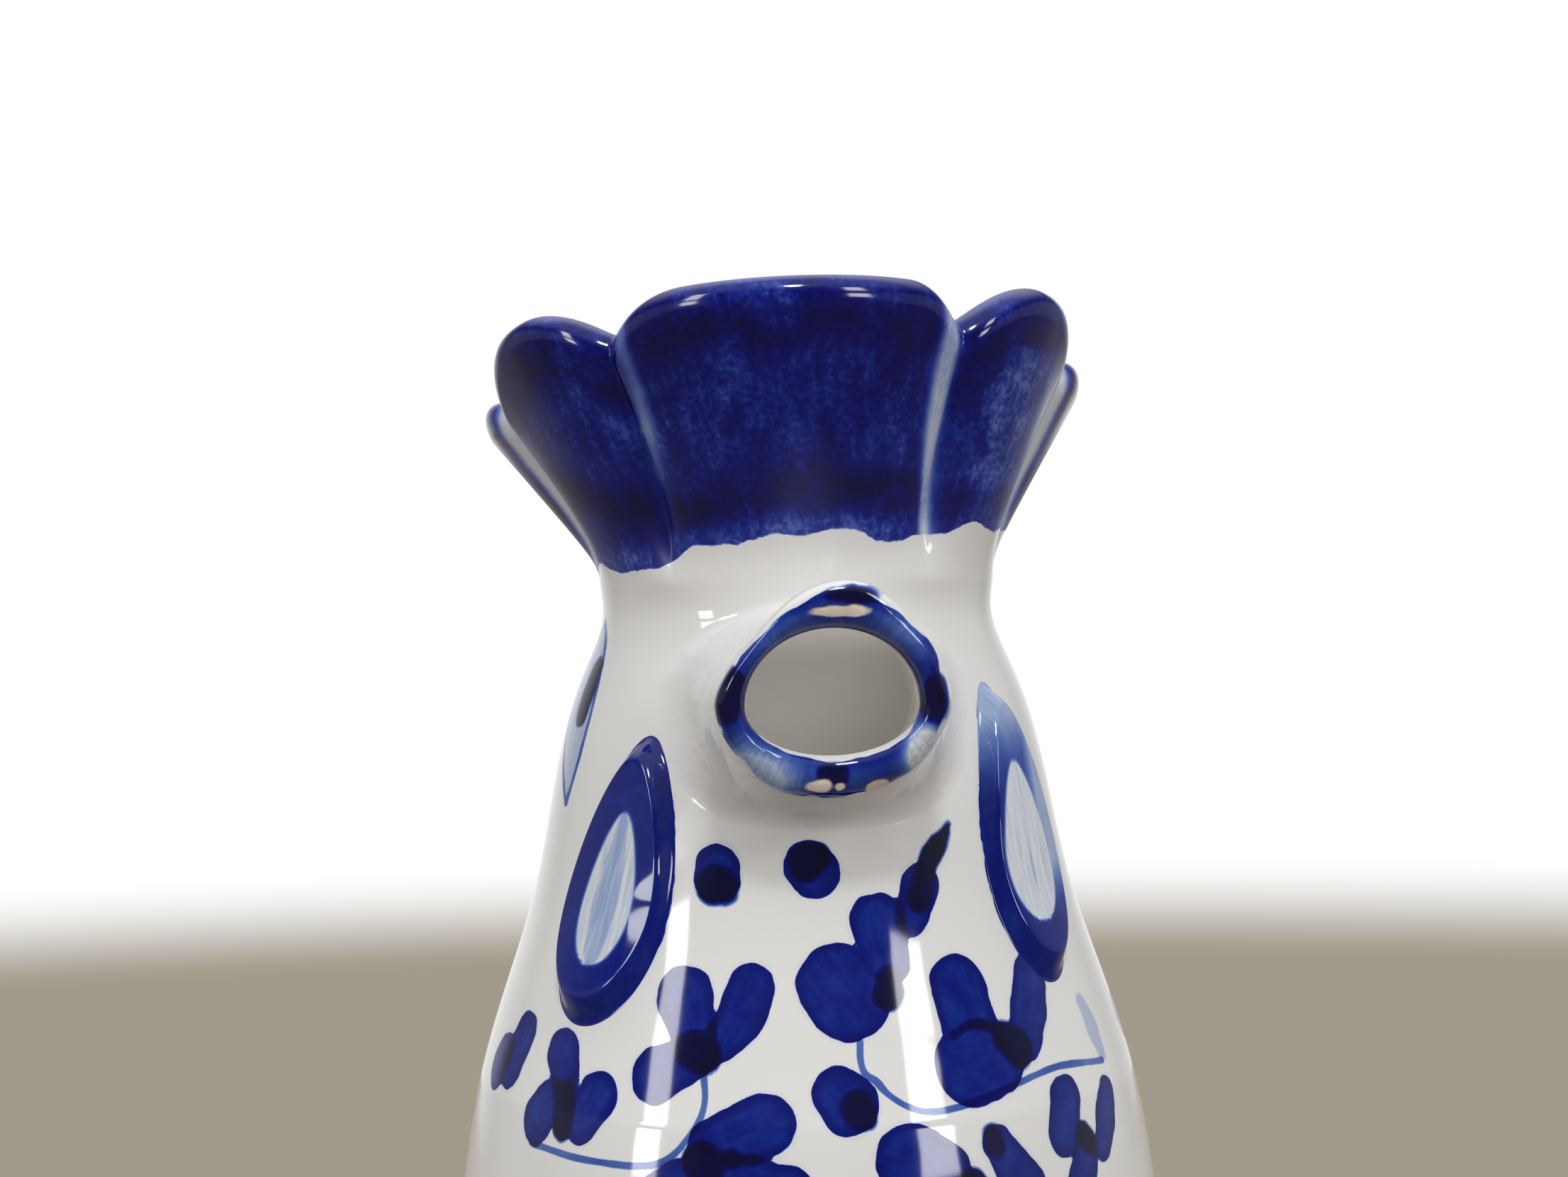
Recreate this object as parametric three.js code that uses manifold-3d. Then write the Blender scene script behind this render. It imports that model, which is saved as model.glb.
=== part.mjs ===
// A milk jug in the form of a hen, in glazed earthenware: a turned pot, a fluted comb round its mouth,
// a beak that pours, two wattles and a strap handle, each luted to the pot with slip before firing.
// Millimetres, +Z up. The origin is the centre of the flat base, and the beak points along -Y.
import * as THREE from "three";
import { LoftGeometry } from "three/addons/geometries/LoftGeometry.js";
import { mergeVertices } from "three/addons/utils/BufferGeometryUtils.js";
import Module from "manifold-3d";

// Pot: the outer radius at each station of its profile, and how far it lies above the station below
const BASE_RADIUS = 29;
const BASE_BEVEL = 1.6;
const HIP_RADIUS = 38.2;
const HIP_RISE = 17;
const BELLY_RADIUS = 41.2;
const BELLY_RISE = 25;
const FLANK_RADIUS = 37;
const FLANK_RISE = 34;
const SHOULDER_RADIUS = 31.4;
const SHOULDER_RISE = 17;
const THROAT_RADIUS = 25.1;
const THROAT_RISE = 25;
const NECK_RADIUS = 22.7;
const NECK_RISE = 7;
const RIM_RADIUS = 22.9;
const RIM_RISE = 3;
const WALL = 4;
const FLOOR_THICKNESS = 5;
const FLOOR_FILLET = 9;

// Slip joint between the pot and each piece that is luted to it
const LUTE_GAP = 0.3;

// Comb: a flaring collar of lobes, one broad lobe over the beak and the rest alike, lower to the rear
const COMB_HEIGHT = 32.2;
const COMB_RIM_RADIUS = 36.2;
const COMB_SET_BACK = 2.7;
const COMB_SIDE_LEAN = 1.35;
const COMB_SIDE_SLOPE = 0.03;
const COMB_SIDE_TUCK = 2.2;
const COMB_REAR_FLARE = 1.3;
const COMB_REAR_DROP = 14;
const COMB_REAR_START = 0.08;
const COMB_LOBES = 7;
const COMB_FRONT_LOBE_ANGLE = 76;
const COMB_TURN = -4;
const LOBE_FULLNESS = 0.55;
const NOTCH_DEPTH = 4.2;
const FLUTE_DEPTH = 5;
const FLUTE_EASE = 0.5;
const COMB_LIP_WIDTH = 7;
const COMB_LIP_ROUND = 4.5;

// Beak: sizes of its lip, pouring hole and root, measured from the corners of the mouth
const BEAK_BELOW_COMB = 12.1;
const BEAK_REACH = 41.5;
const BEAK_LIP_HALF_WIDTH = 12;
const BEAK_LIP_RISE = 12.2;
const BEAK_LIP_DROP = 9.6;
const BEAK_LIP_ROUND = 1.5;
const BEAK_LIP_RAKE = 10;
const BEAK_LIP_PEAK = 1.7;
const BEAK_HOLE_HALF_WIDTH = 9;
const BEAK_HOLE_RISE = 7.7;
const BEAK_HOLE_DROP = 5.3;
const BEAK_ROOT_HALF_WIDTH = 15.5;
const BEAK_ROOT_RISE = 11;
const BEAK_ROOT_DROP = 15.5;
const BEAK_FLARE_EASE = 2.2;

// Wattles: teardrop pads beside the beak, each with its own place, as they were pressed on by hand
const WATTLE_WIDTH = 13;
const WATTLE_EDGE = 0.5;
const WATTLE_RELIEF = 1.3;
const WATTLE_BLUNTNESS = 0.5;
const LEFT_WATTLE_ANGLE = -45;
const LEFT_WATTLE_BELOW_COMB = 31.6;
const LEFT_WATTLE_LENGTH = 31;
const LEFT_WATTLE_LEAN = 0.11;
const RIGHT_WATTLE_ANGLE = 48;
const RIGHT_WATTLE_BELOW_COMB = 27.6;
const RIGHT_WATTLE_LENGTH = 33;
const RIGHT_WATTLE_LEAN = 0;

// Handle: a strap pulled from the back of the neck down to the belly, thickened at both roots
const HANDLE_TOP_BELOW_COMB = 12;
const HANDLE_FOOT_ABOVE_BELLY = 16;
const HANDLE_REACH = 48;
const HANDLE_ARCH = 24;
const HANDLE_LOW_REACH = 43;
const HANDLE_LOW_ARCH = 14;
const HANDLE_WIDTH = 15;
const HANDLE_THICKNESS = 9;
const HANDLE_ROOT_WIDTH = 21;
const HANDLE_ROOT_THICKNESS = 14;
const HANDLE_ROOT_EASE = 6;

// Facets
const POT_SIDES = 56;
const PROFILE_STEPS = 21;
const FILLET_STEPS = 4;
const LOBE_STEPS = 12;
const COMB_FLANK_STEPS = 5;
const COMB_LIP_STEPS = 7;
const BEAK_SIDES = 40;
const BEAK_STEPS = 7;
const WATTLE_SIDES = 24;
const WATTLE_RINGS = 4;
const HANDLE_SIDES = 16;
const HANDLE_STEPS = 28;
const SEARCH_STEPS = 40;

const wasm = await Module();
wasm.setup();

const mix = THREE.MathUtils.lerp;
const radians = THREE.MathUtils.degToRad;

// Heights that the pieces share
const BELLY_HEIGHT = HIP_RISE + BELLY_RISE;
const FLANK_HEIGHT = BELLY_HEIGHT + FLANK_RISE;
const SHOULDER_HEIGHT = FLANK_HEIGHT + SHOULDER_RISE;
const THROAT_HEIGHT = SHOULDER_HEIGHT + THROAT_RISE;
const NECK_HEIGHT = THROAT_HEIGHT + NECK_RISE;
const RIM_HEIGHT = NECK_HEIGHT + RIM_RISE;
const BEAK_HEIGHT = RIM_HEIGHT - BEAK_BELOW_COMB;

const potProfile = new THREE.CatmullRomCurve3(
  [
    new THREE.Vector3(BASE_RADIUS + BASE_BEVEL, 0, BASE_BEVEL),
    new THREE.Vector3(HIP_RADIUS, 0, HIP_RISE),
    new THREE.Vector3(BELLY_RADIUS, 0, BELLY_HEIGHT),
    new THREE.Vector3(FLANK_RADIUS, 0, FLANK_HEIGHT),
    new THREE.Vector3(SHOULDER_RADIUS, 0, SHOULDER_HEIGHT),
    new THREE.Vector3(THROAT_RADIUS, 0, THROAT_HEIGHT),
    new THREE.Vector3(NECK_RADIUS, 0, NECK_HEIGHT),
    new THREE.Vector3(RIM_RADIUS, 0, RIM_HEIGHT),
  ],
  false,
  "centripetal",
);

// Points of the pot's profile, moved out from its surface by an offset, as radius and height
function profilePoints(offset) {
  return Array.from({ length: PROFILE_STEPS + 1 }, (_, i) => {
    const point = potProfile.getPointAt(i / PROFILE_STEPS);
    const along = potProfile.getTangentAt(i / PROFILE_STEPS);
    return new THREE.Vector2(point.x + along.z * offset, point.z - along.x * offset);
  });
}

// Outer radius of the pot at a height
function potRadius(height) {
  let low = 0;
  let high = 1;
  for (let i = 0; i < SEARCH_STEPS; i++) {
    const middle = (low + high) / 2;
    if (potProfile.getPoint(middle).z < height) {
      low = middle;
    } else {
      high = middle;
    }
  }
  return potProfile.getPoint(low).x;
}

// A point beside the axis: the angle is 0 over the beak and grows towards +X
function around(angle, radius, height) {
  return new THREE.Vector3(radius * Math.sin(angle), -radius * Math.cos(angle), height);
}

function revolve(points) {
  return new THREE.LatheGeometry(points, POT_SIDES).rotateX(Math.PI / 2);
}

function toSolid(geometry) {
  const bare = new THREE.BufferGeometry();
  bare.setAttribute("position", geometry.attributes.position);
  bare.setIndex(geometry.index);
  const merged = mergeVertices(bare);
  const vertProperties = new Float32Array(merged.attributes.position.array);
  const triVerts = new Uint32Array(merged.index.array);
  return new wasm.Manifold(new wasm.Mesh({ numProp: 3, vertProperties, triVerts }));
}

function toGeometry(solid) {
  const mesh = solid.getMesh();
  const geometry = new THREE.BufferGeometry();
  geometry.setAttribute("position", new THREE.BufferAttribute(mesh.vertProperties, 3));
  geometry.setIndex(new THREE.BufferAttribute(mesh.triVerts, 1));
  geometry.computeVertexNormals();
  return geometry;
}

// The pot as if it were solid, swollen by the slip joint: what is luted on is cut to sit against it
function potSeat() {
  const outside = profilePoints(LUTE_GAP);
  const last = outside[outside.length - 1];
  return toSolid(revolve([new THREE.Vector2(0, 0), ...outside, new THREE.Vector2(0, last.y)]));
}

function potShell() {
  const outside = profilePoints(0);
  const filletTop = FLOOR_THICKNESS + FLOOR_FILLET;
  const inside = profilePoints(-WALL).filter((point) => point.y > filletTop).reverse();
  const rimInside = new THREE.Vector2(inside[0].x, RIM_HEIGHT);
  const wallFoot = inside[inside.length - 1];
  const fillet = new THREE.QuadraticBezierCurve(
    wallFoot,
    new THREE.Vector2(wallFoot.x - FLOOR_FILLET / 4, FLOOR_THICKNESS),
    new THREE.Vector2(wallFoot.x - FLOOR_FILLET, FLOOR_THICKNESS),
  ).getPoints(FILLET_STEPS);
  return revolve([
    new THREE.Vector2(0, 0),
    new THREE.Vector2(BASE_RADIUS, 0),
    ...outside,
    rimInside,
    ...inside.slice(1, -1),
    ...fillet,
    new THREE.Vector2(0, FLOOR_THICKNESS),
  ]);
}

// Directions round the comb, from notch to notch, each with its crest: 1 on a lobe's middle, 0 in a notch
function combDirections() {
  const frontSpan = radians(COMB_FRONT_LOBE_ANGLE);
  const otherSpan = (2 * Math.PI - frontSpan) / (COMB_LOBES - 1);
  const directions = [];
  let start = radians(COMB_TURN) - frontSpan / 2;
  for (let lobe = 0; lobe < COMB_LOBES; lobe++) {
    const span = lobe === 0 ? frontSpan : otherSpan;
    for (let step = 0; step < LOBE_STEPS; step++) {
      const share = step / LOBE_STEPS;
      directions.push({ angle: start + span * share, crest: Math.sin(Math.PI * share) ** LOBE_FULLNESS });
    }
    start += span;
  }
  return directions;
}

// One closed section of the comb: up the outer flank, over the round lip and down the inner flank
function combSection({ angle, crest }) {
  const seatHeight = RIM_HEIGHT + LUTE_GAP;
  const rearward = (1 - Math.cos(angle)) / 2;
  const rearDrop = COMB_REAR_DROP * THREE.MathUtils.smoothstep(rearward, COMB_REAR_START, 1);
  const drop = rearDrop + NOTCH_DEPTH * (1 - crest);
  const flute = FLUTE_DEPTH * (1 - crest);
  const tuck = (COMB_SIDE_TUCK * (1 - Math.cos(3 * angle))) / 2;
  const fullRim = COMB_RIM_RADIUS + COMB_REAR_FLARE * rearward - tuck;
  const rim = fullRim - flute;
  const top = seatHeight + COMB_HEIGHT - drop + COMB_SIDE_SLOPE * rim * Math.sin(angle);
  const lipHeight = top - COMB_LIP_ROUND;
  const lean = (height) => {
    const share = (height - seatHeight) / COMB_HEIGHT;
    return new THREE.Vector3(-COMB_SIDE_LEAN * share, COMB_SET_BACK * share, 0);
  };
  const place = (radius, height) => around(angle, radius, height).add(lean(height));
  const section = [];
  for (let i = 0; i < COMB_FLANK_STEPS; i++) {
    const share = i / COMB_FLANK_STEPS;
    const radius = mix(RIM_RADIUS, fullRim, share) - flute * share ** FLUTE_EASE;
    section.push(place(radius, mix(seatHeight, lipHeight, share)));
  }
  for (let i = 0; i <= COMB_LIP_STEPS; i++) {
    const turn = (Math.PI * i) / COMB_LIP_STEPS;
    const radius = rim - (COMB_LIP_WIDTH / 2) * (1 - Math.cos(turn));
    section.push(place(radius, lipHeight + COMB_LIP_ROUND * Math.sin(turn)));
  }
  for (let i = 1; i <= COMB_FLANK_STEPS; i++) {
    const share = i / COMB_FLANK_STEPS;
    const radius = mix(rim - COMB_LIP_WIDTH, RIM_RADIUS - WALL, share);
    section.push(place(radius, mix(lipHeight, seatHeight, share)));
  }
  return section;
}

function comb() {
  const sections = combDirections().map(combSection);
  const rings = sections[0].map((_, station) => sections.map((section) => section[station]));
  return new LoftGeometry([...rings, rings[0]]);
}

// An outline of the beak about the level of its mouth's corners, as offsets to the side and upwards
function beakOutline(halfWidth, rise, drop, peak) {
  return Array.from({ length: BEAK_SIDES }, (_, i) => {
    const turn = (2 * Math.PI * i) / BEAK_SIDES;
    const swing = Math.sin(turn);
    return new THREE.Vector2(halfWidth * Math.cos(turn), swing > 0 ? rise * swing ** peak : drop * swing);
  });
}

// The outline on a raked plane in front of the pot
function beakRing(outline, reach) {
  const rake = Math.tan(radians(BEAK_LIP_RAKE));
  return outline.map(({ x, y }) => new THREE.Vector3(x, -reach - y * rake, BEAK_HEIGHT + y));
}

// The pouring passage, from inside the pot to past the lip, where it opens out
function beakBore() {
  const ring = (grow, reach) => {
    const halfWidth = BEAK_HOLE_HALF_WIDTH + grow;
    return beakRing(beakOutline(halfWidth, BEAK_HOLE_RISE + grow, BEAK_HOLE_DROP + grow, 1), reach);
  };
  const rings = [
    ring(0, NECK_RADIUS - 2 * WALL),
    ring(0, BEAK_REACH - BEAK_LIP_ROUND),
    ring(BEAK_LIP_ROUND / 2, BEAK_REACH),
    ring(BEAK_LIP_ROUND, BEAK_REACH + BEAK_LIP_ROUND),
  ];
  return toSolid(new LoftGeometry(rings, { capStart: true, capEnd: true }));
}

// The beak before it is bored and cut to its seat: it flares from the lip to a root inside the neck's wall
function beak() {
  const lipOutline = (inset) =>
    beakOutline(
      BEAK_LIP_HALF_WIDTH - inset,
      BEAK_LIP_RISE - inset,
      BEAK_LIP_DROP - inset,
      BEAK_LIP_PEAK,
    );
  const lip = beakRing(lipOutline(0), BEAK_REACH - BEAK_LIP_ROUND);
  const root = beakOutline(BEAK_ROOT_HALF_WIDTH, BEAK_ROOT_RISE, BEAK_ROOT_DROP, 1).map(({ x, y }) => {
    const radius = potRadius(BEAK_HEIGHT + y) - WALL / 2;
    return new THREE.Vector3(x, -Math.sqrt(radius ** 2 - x ** 2), BEAK_HEIGHT + y);
  });
  const rings = [];
  for (let i = 0; i <= BEAK_STEPS; i++) {
    const share = i / BEAK_STEPS;
    const flare = (1 - share) ** BEAK_FLARE_EASE;
    rings.push(
      lip.map((end, j) => {
        const start = root[j];
        return new THREE.Vector3(
          mix(end.x, start.x, flare),
          mix(start.y, end.y, share),
          mix(end.z, start.z, flare),
        );
      }),
    );
  }
  rings.push(beakRing(lipOutline(BEAK_LIP_ROUND / 2), BEAK_REACH));
  return toSolid(new LoftGeometry(rings, { capStart: true, capEnd: true }));
}

// Half width of a teardrop of unit half width, at a turn that starts from its blunt point at the top
function teardrop(turn) {
  const even = (1 + WATTLE_BLUNTNESS) / 2;
  const bias = (1 - WATTLE_BLUNTNESS) / 2;
  const fullest = (even - Math.hypot(even, Math.sqrt(8) * bias)) / (4 * bias);
  const fullestSide = Math.sqrt(1 - fullest ** 2) * (even - bias * fullest);
  return (Math.sin(turn) * (even - bias * Math.cos(turn))) / fullestSide;
}

// A teardrop pad that follows the pot's surface, domed on its face
function wattle(angle, belowComb, length, lean) {
  const middle = RIM_HEIGHT - belowComb;
  const ring = (scale, offset) =>
    Array.from({ length: WATTLE_SIDES }, (_, i) => {
      const turn = (2 * Math.PI * i) / WATTLE_SIDES;
      const rise = (length / 2) * Math.cos(turn) * scale;
      const side = (-WATTLE_WIDTH / 2) * teardrop(turn) * scale;
      const radius = potRadius(middle + rise);
      const leanOut = -Math.sign(angle) * lean * rise;
      return around(radians(angle) + (side + leanOut) / radius, radius + offset, middle + rise);
    });
  const back = [];
  const face = [];
  for (let i = 0; i <= WATTLE_RINGS; i++) {
    const scale = i / WATTLE_RINGS;
    back.push(ring(scale, LUTE_GAP));
    face.unshift(ring(scale, LUTE_GAP + WATTLE_EDGE + WATTLE_RELIEF * (1 - scale ** 2)));
  }
  return new LoftGeometry([...back, ...face]);
}

function handle() {
  const topHeight = RIM_HEIGHT - HANDLE_TOP_BELOW_COMB;
  const footHeight = BELLY_HEIGHT + HANDLE_FOOT_ABOVE_BELLY;
  const top = new THREE.Vector3(0, potRadius(topHeight) - WALL / 2, topHeight);
  const foot = new THREE.Vector3(0, potRadius(footHeight) - WALL / 2, footHeight);
  const path = new THREE.CubicBezierCurve3(
    top,
    new THREE.Vector3(0, top.y + HANDLE_REACH, topHeight + HANDLE_ARCH),
    new THREE.Vector3(0, foot.y + HANDLE_LOW_REACH, footHeight + HANDLE_LOW_ARCH),
    foot,
  );
  const rings = [];
  for (let i = 0; i <= HANDLE_STEPS; i++) {
    const share = i / HANDLE_STEPS;
    const centre = path.getPoint(share);
    const along = path.getTangent(share);
    const across = new THREE.Vector3(1, 0, 0);
    const out = new THREE.Vector3().crossVectors(along, across);
    const swell = Math.abs(2 * share - 1) ** HANDLE_ROOT_EASE;
    const halfWidth = mix(HANDLE_WIDTH, HANDLE_ROOT_WIDTH, swell) / 2;
    const halfThickness = mix(HANDLE_THICKNESS, HANDLE_ROOT_THICKNESS, swell) / 2;
    rings.push(
      Array.from({ length: HANDLE_SIDES }, (_, j) => {
        const turn = (2 * Math.PI * j) / HANDLE_SIDES;
        return centre
          .clone()
          .addScaledVector(across, halfWidth * Math.cos(turn))
          .addScaledVector(out, halfThickness * Math.sin(turn));
      }),
    );
  }
  return toSolid(new LoftGeometry(rings, { capStart: true, capEnd: true }));
}

const whiteGlaze = new THREE.MeshStandardMaterial({ color: 0xdedbd6, roughness: 0.15, metalness: 0 });
const cobaltGlaze = new THREE.MeshStandardMaterial({ color: 0x1c2670, roughness: 0.12, metalness: 0 });
const paleCobaltGlaze = new THREE.MeshStandardMaterial({ color: 0x7f9fd0, roughness: 0.15, metalness: 0 });

const jug = new THREE.Group();

function addPiece(name, geometry, material) {
  const piece = new THREE.Mesh(geometry, material);
  piece.name = name;
  jug.add(piece);
}

const seat = potSeat();
const bore = beakBore();
addPiece("pot_body", toGeometry(toSolid(potShell()).subtract(bore)), whiteGlaze);
addPiece("comb_collar", comb(), cobaltGlaze);
addPiece("beak_spout", toGeometry(beak().subtract(seat).subtract(bore)), whiteGlaze);
const wattleLeft = wattle(
  LEFT_WATTLE_ANGLE,
  LEFT_WATTLE_BELOW_COMB,
  LEFT_WATTLE_LENGTH,
  LEFT_WATTLE_LEAN,
);
const wattleRight = wattle(
  RIGHT_WATTLE_ANGLE,
  RIGHT_WATTLE_BELOW_COMB,
  RIGHT_WATTLE_LENGTH,
  RIGHT_WATTLE_LEAN,
);
addPiece("wattle_left", wattleLeft, paleCobaltGlaze);
addPiece("wattle_right", wattleRight, paleCobaltGlaze);
addPiece("strap_handle", toGeometry(handle().subtract(seat)), whiteGlaze);

export default jug;
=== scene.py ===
"""A milk jug in the form of a hen, in earthenware painted with cobalt under a clear glaze.

Lengths are in millimetres until a mesh is made, and then in metres. An angle round the jug is 0 over
the beak, which points along -Y, and grows towards +X. Paint is kept on each point as a distance to
the edge of a brush mark, negative inside the mark, and the shaders turn it into colour.
"""
import math

import bpy
import numpy as np
from mathutils import Matrix, Vector


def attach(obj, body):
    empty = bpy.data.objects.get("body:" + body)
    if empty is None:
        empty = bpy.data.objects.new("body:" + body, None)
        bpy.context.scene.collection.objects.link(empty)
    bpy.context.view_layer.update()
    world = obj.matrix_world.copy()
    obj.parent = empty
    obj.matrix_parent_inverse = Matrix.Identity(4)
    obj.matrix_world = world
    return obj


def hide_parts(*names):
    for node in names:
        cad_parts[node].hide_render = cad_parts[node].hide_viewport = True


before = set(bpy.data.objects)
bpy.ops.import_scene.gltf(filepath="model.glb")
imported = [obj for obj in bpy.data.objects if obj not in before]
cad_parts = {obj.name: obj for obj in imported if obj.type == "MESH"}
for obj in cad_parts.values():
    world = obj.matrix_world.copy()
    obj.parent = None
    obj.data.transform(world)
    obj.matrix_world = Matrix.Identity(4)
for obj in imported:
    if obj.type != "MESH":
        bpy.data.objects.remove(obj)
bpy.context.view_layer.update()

MM = 0.001
FAR = 9.0

# Pot: outer radius and height at the stations of its profile
LOWER_PROFILE = ((30.6, 1.6), (38.2, 17.0), (41.2, 42.0), (37.0, 76.0))
PROFILE = LOWER_PROFILE + ((31.4, 93.0), (25.1, 118.0), (22.7, 125.0), (22.9, 128.0))
BASE_RADIUS = 29.0
BASE_BEVEL = 1.6
BASE_RINGS = (3.0, 11.0, 19.0, 26.0, 28.6)
WALL = 4.0
FLOOR_THICKNESS = 5.0
FLOOR_FILLET = 9.0
FLOOR_RINGS = (16.0, 8.0, 3.0)
SEAM_RADIUS, SEAM_HEIGHT = PROFILE[-1]

# Unevenness left by the hands: depth, waves round the jug, phase, and height of one radian of twist
WOBBLES = ((0.10, 2, 0.6, 40.0), (0.07, 3, -1.1, -23.0), (0.03, 5, 0.0, 13.0))

# Comb
COMB_HEIGHT = 32.5
COMB_RIM_RADIUS = 36.2
COMB_SET_BACK = 2.7
COMB_SIDE_LEAN = 1.35
COMB_LEAN_EASE = 0.15
COMB_SIDE_TUCK = 2.2
COMB_REAR_FLARE = 1.3
COMB_SIDE_SLOPE = 0.03
COMB_REAR_DROP = 14.0
COMB_REAR_START = 0.08
COMB_BEND = 0.05
COMB_BEND_START = 0.09
COMB_SEAM_EASE = 2.2
COMB_LOBES = 7
COMB_FRONT_LOBE_ANGLE = 76.0
COMB_TURN = -4.0
COMB_LIP_WIDTH = 7.0
COMB_LIP_ROUND = 4.5
COMB_LIP_TILT = 27.0
LOBE_FULLNESS = 0.55
LOBE_CROWN = 1.6
CREST_SOFTNESS = 0.0012
# Notches of the comb, from the left of the front lobe round by its right: depth, and reach before and after
NOTCHES = ((3.8, 20.0, 20.0), (4.7, 14.0, 22.0)) + 5 * ((3.2, 20.0, 20.0),)
NOTCH_SOFTNESS = 0.02
FLUTE_DEPTH = 5.0
FLUTE_EASE = 0.06
COMB_LINING_POWER = 1.1

# Paint on the comb: height of its lower edge, of the band where it pooled, and how far it reaches inside the
# rim, with the waves of both edges, by depth, number and phase
COMB_PAINT_HEIGHT = 133.4
COMB_PAINT_WAVES = ((0.4, 5, 2.6), (0.4, 9, 0.5), (0.3, 17, -1.0))
COMB_POOL_HEIGHT = 137.4
COMB_INSIDE_REACH = 8.0
COMB_INSIDE_WAVES = ((1.5, 9, 0.0), (1.0, 4, 0.0))
# Bands where the brush missed, and painted light: a painted reflection along the front lobe's sides, and
# grooves by the rear lobes painted lighter than their shade. Notch, how far the band leaves it upwards, half
# width, how much wider it gets towards the lip, strength, and the heights between which it fades in from
# below
BARE_AND_LIT_BANDS = (
    (0, 2.6, 2.4, 0.4, 0.66, 131.0, 146.0),
    (1, -2.2, 2.0, 2.0, 0.84, 128.0, 134.0),
    (2, 0.4, 4.6, 0.5, 1.0, 120.0, 122.0),
    (3, 0.0, 2.0, 0.5, 0.7, 128.0, 134.0),
    (4, 0.0, 2.0, 0.5, 0.7, 128.0, 134.0),
    (5, 0.0, 2.0, 0.5, 0.7, 128.0, 134.0),
    (6, -0.4, 4.8, 0.5, 1.0, 120.0, 122.0),
)

# Beak: sizes from the corners of its mouth
BEAK_HEIGHT = 115.6
BEAK_REACH = 41.5
BEAK_RAKE = 10.0
BEAK_LIP_HALF_WIDTH = 12.0
BEAK_LIP_RISE = 12.9
BEAK_LIP_DROP = 9.6
BEAK_LIP_PEAK = 0.62
BEAK_LIP_SKEW = 1.4
BEAK_LIP_ROUND = 2.2
BEAK_LIP_FULLNESS = 0.8
BEAK_LIP_SPREAD = 0.10
BEAK_LIP_WAVES = ((0.18, 3, 0.8), (0.12, 5, -0.6), (0.06, 9, 1.9))
BEAK_CORNER_SWELL = 0.2
BEAK_CORNER_SPAN = 0.08
BEAK_HOLE_HALF_WIDTH = 9.0
BEAK_HOLE_RISE = 7.9
BEAK_HOLE_DROP = 5.2
BEAK_BORE_FLARE = 1.5
BEAK_ROOT_HALF_WIDTH = 17.2
BEAK_ROOT_RISE = 11.4
BEAK_ROOT_DROP = 13.9
BEAK_ROOT_PULL = 0.7
BEAK_SUNK = 0.8
BEAK_ROOT_INSET = 0.6

# Paint on the beak's lip, by places to the side and upwards and by half sizes: dark blots and spots of bare
# clay, and then, with their strengths first, patches where it is thin and the corner where it is thinnest
BEAK_BLOTS = ((-10.9, 1.2, 1.7, 3.2), (10.4, 0.6, 1.3, 2.2), (-0.2, -7.0, 1.6, 1.3), (1.8, 11.2, 2.6, 0.7))
BEAK_CLAY = ((0.1, 9.6, 3.2, 0.65), (-1.7, -8.2, 1.3, 0.7), (0.6, -8.3, 0.45, 0.35), (4.6, -8.7, 1.5, 0.85))
BEAK_THIN = ((1.15, -7.4, -6.4, 8.0, 6.2), (0.576, -5.0, 6.5, 7.5, 5.0), (0.64, 6.5, 7.0, 5.5, 5.0))
BEAK_THINNEST = ((1.8, 9.4, -5.2, 3.8, 5.2),)

# Room left round the beak's hole in the pot's lattice: below, above, and to each side in degrees
HOLE_BELOW = 5.0
HOLE_ABOVE = 3.6
HOLE_SIDE_ANGLE = 42.0

# Wattles: angle and height of the middle, length, width, and lean of the top towards the beak
WATTLE_LEFT = (-45.0, 96.4, 31.0, 15.0, 0.11)
WATTLE_RIGHT = (48.0, 100.4, 33.0, 12.6, 0.0)
WATTLE_FACET_START = 3.4
WATTLE_FACET_SLOPE = 0.12
WATTLE_FACET_TILT = 0.009
WATTLE_FACET_HOLLOW = 0.0155
WATTLE_RELIEF = 1.9
WATTLE_EDGE = 0.8
WATTLE_BLUNTNESS = 0.5
WATTLE_SUNK = 1.0
WATTLE_SUNK_SCALE = 0.5

# Pale middles of the wattles: shift away from the beak, half width as a share of the wattle's, and how pale
# the wattle's upper end and outer side are, which is thin paint and a painted reflection of the bright room;
# then how low and how long they are, as shares of its length
LEFT_PANE = (-0.35, 0.24, 0.0)
RIGHT_PANE = (-0.8, 0.32, 0.88)
PANE_DROP = 0.04
PANE_HALF_LENGTH = 0.27

# Eyes: angles of the front and back lids, height and half width at each station, and the pupil's ends
EYE = (
    (80.0, 80.0, 124.3, 0.3),
    (71.2, 86.4, 120.4, 3.1),
    (67.0, 87.0, 115.6, 4.4),
    (67.2, 80.6, 109.6, 3.1),
    (70.2, 70.8, 103.8, 0.2),
)
PUPIL = ((72.8, 118.4, 1.7), (72.4, 114.4, 1.9))
EYE_RIGHT_SHIFT = 13.0

# Flowers that the photo doesn't show: height, number, first angle and size of each row, and angles behind
FLOWER_ROWS = ((50.0, 7, 8.0, 1.0), (29.0, 7, 34.0, 1.0), (12.0, 6, 12.0, 0.8))
BACK_FLOWERS = (86.0, 118.0, 152.0, -152.0, -110.0)
BACK_FLOWER_HEIGHT = 76.0
BACK_DOTS = (108.0, 140.0, -140.0, -110.0)

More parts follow.
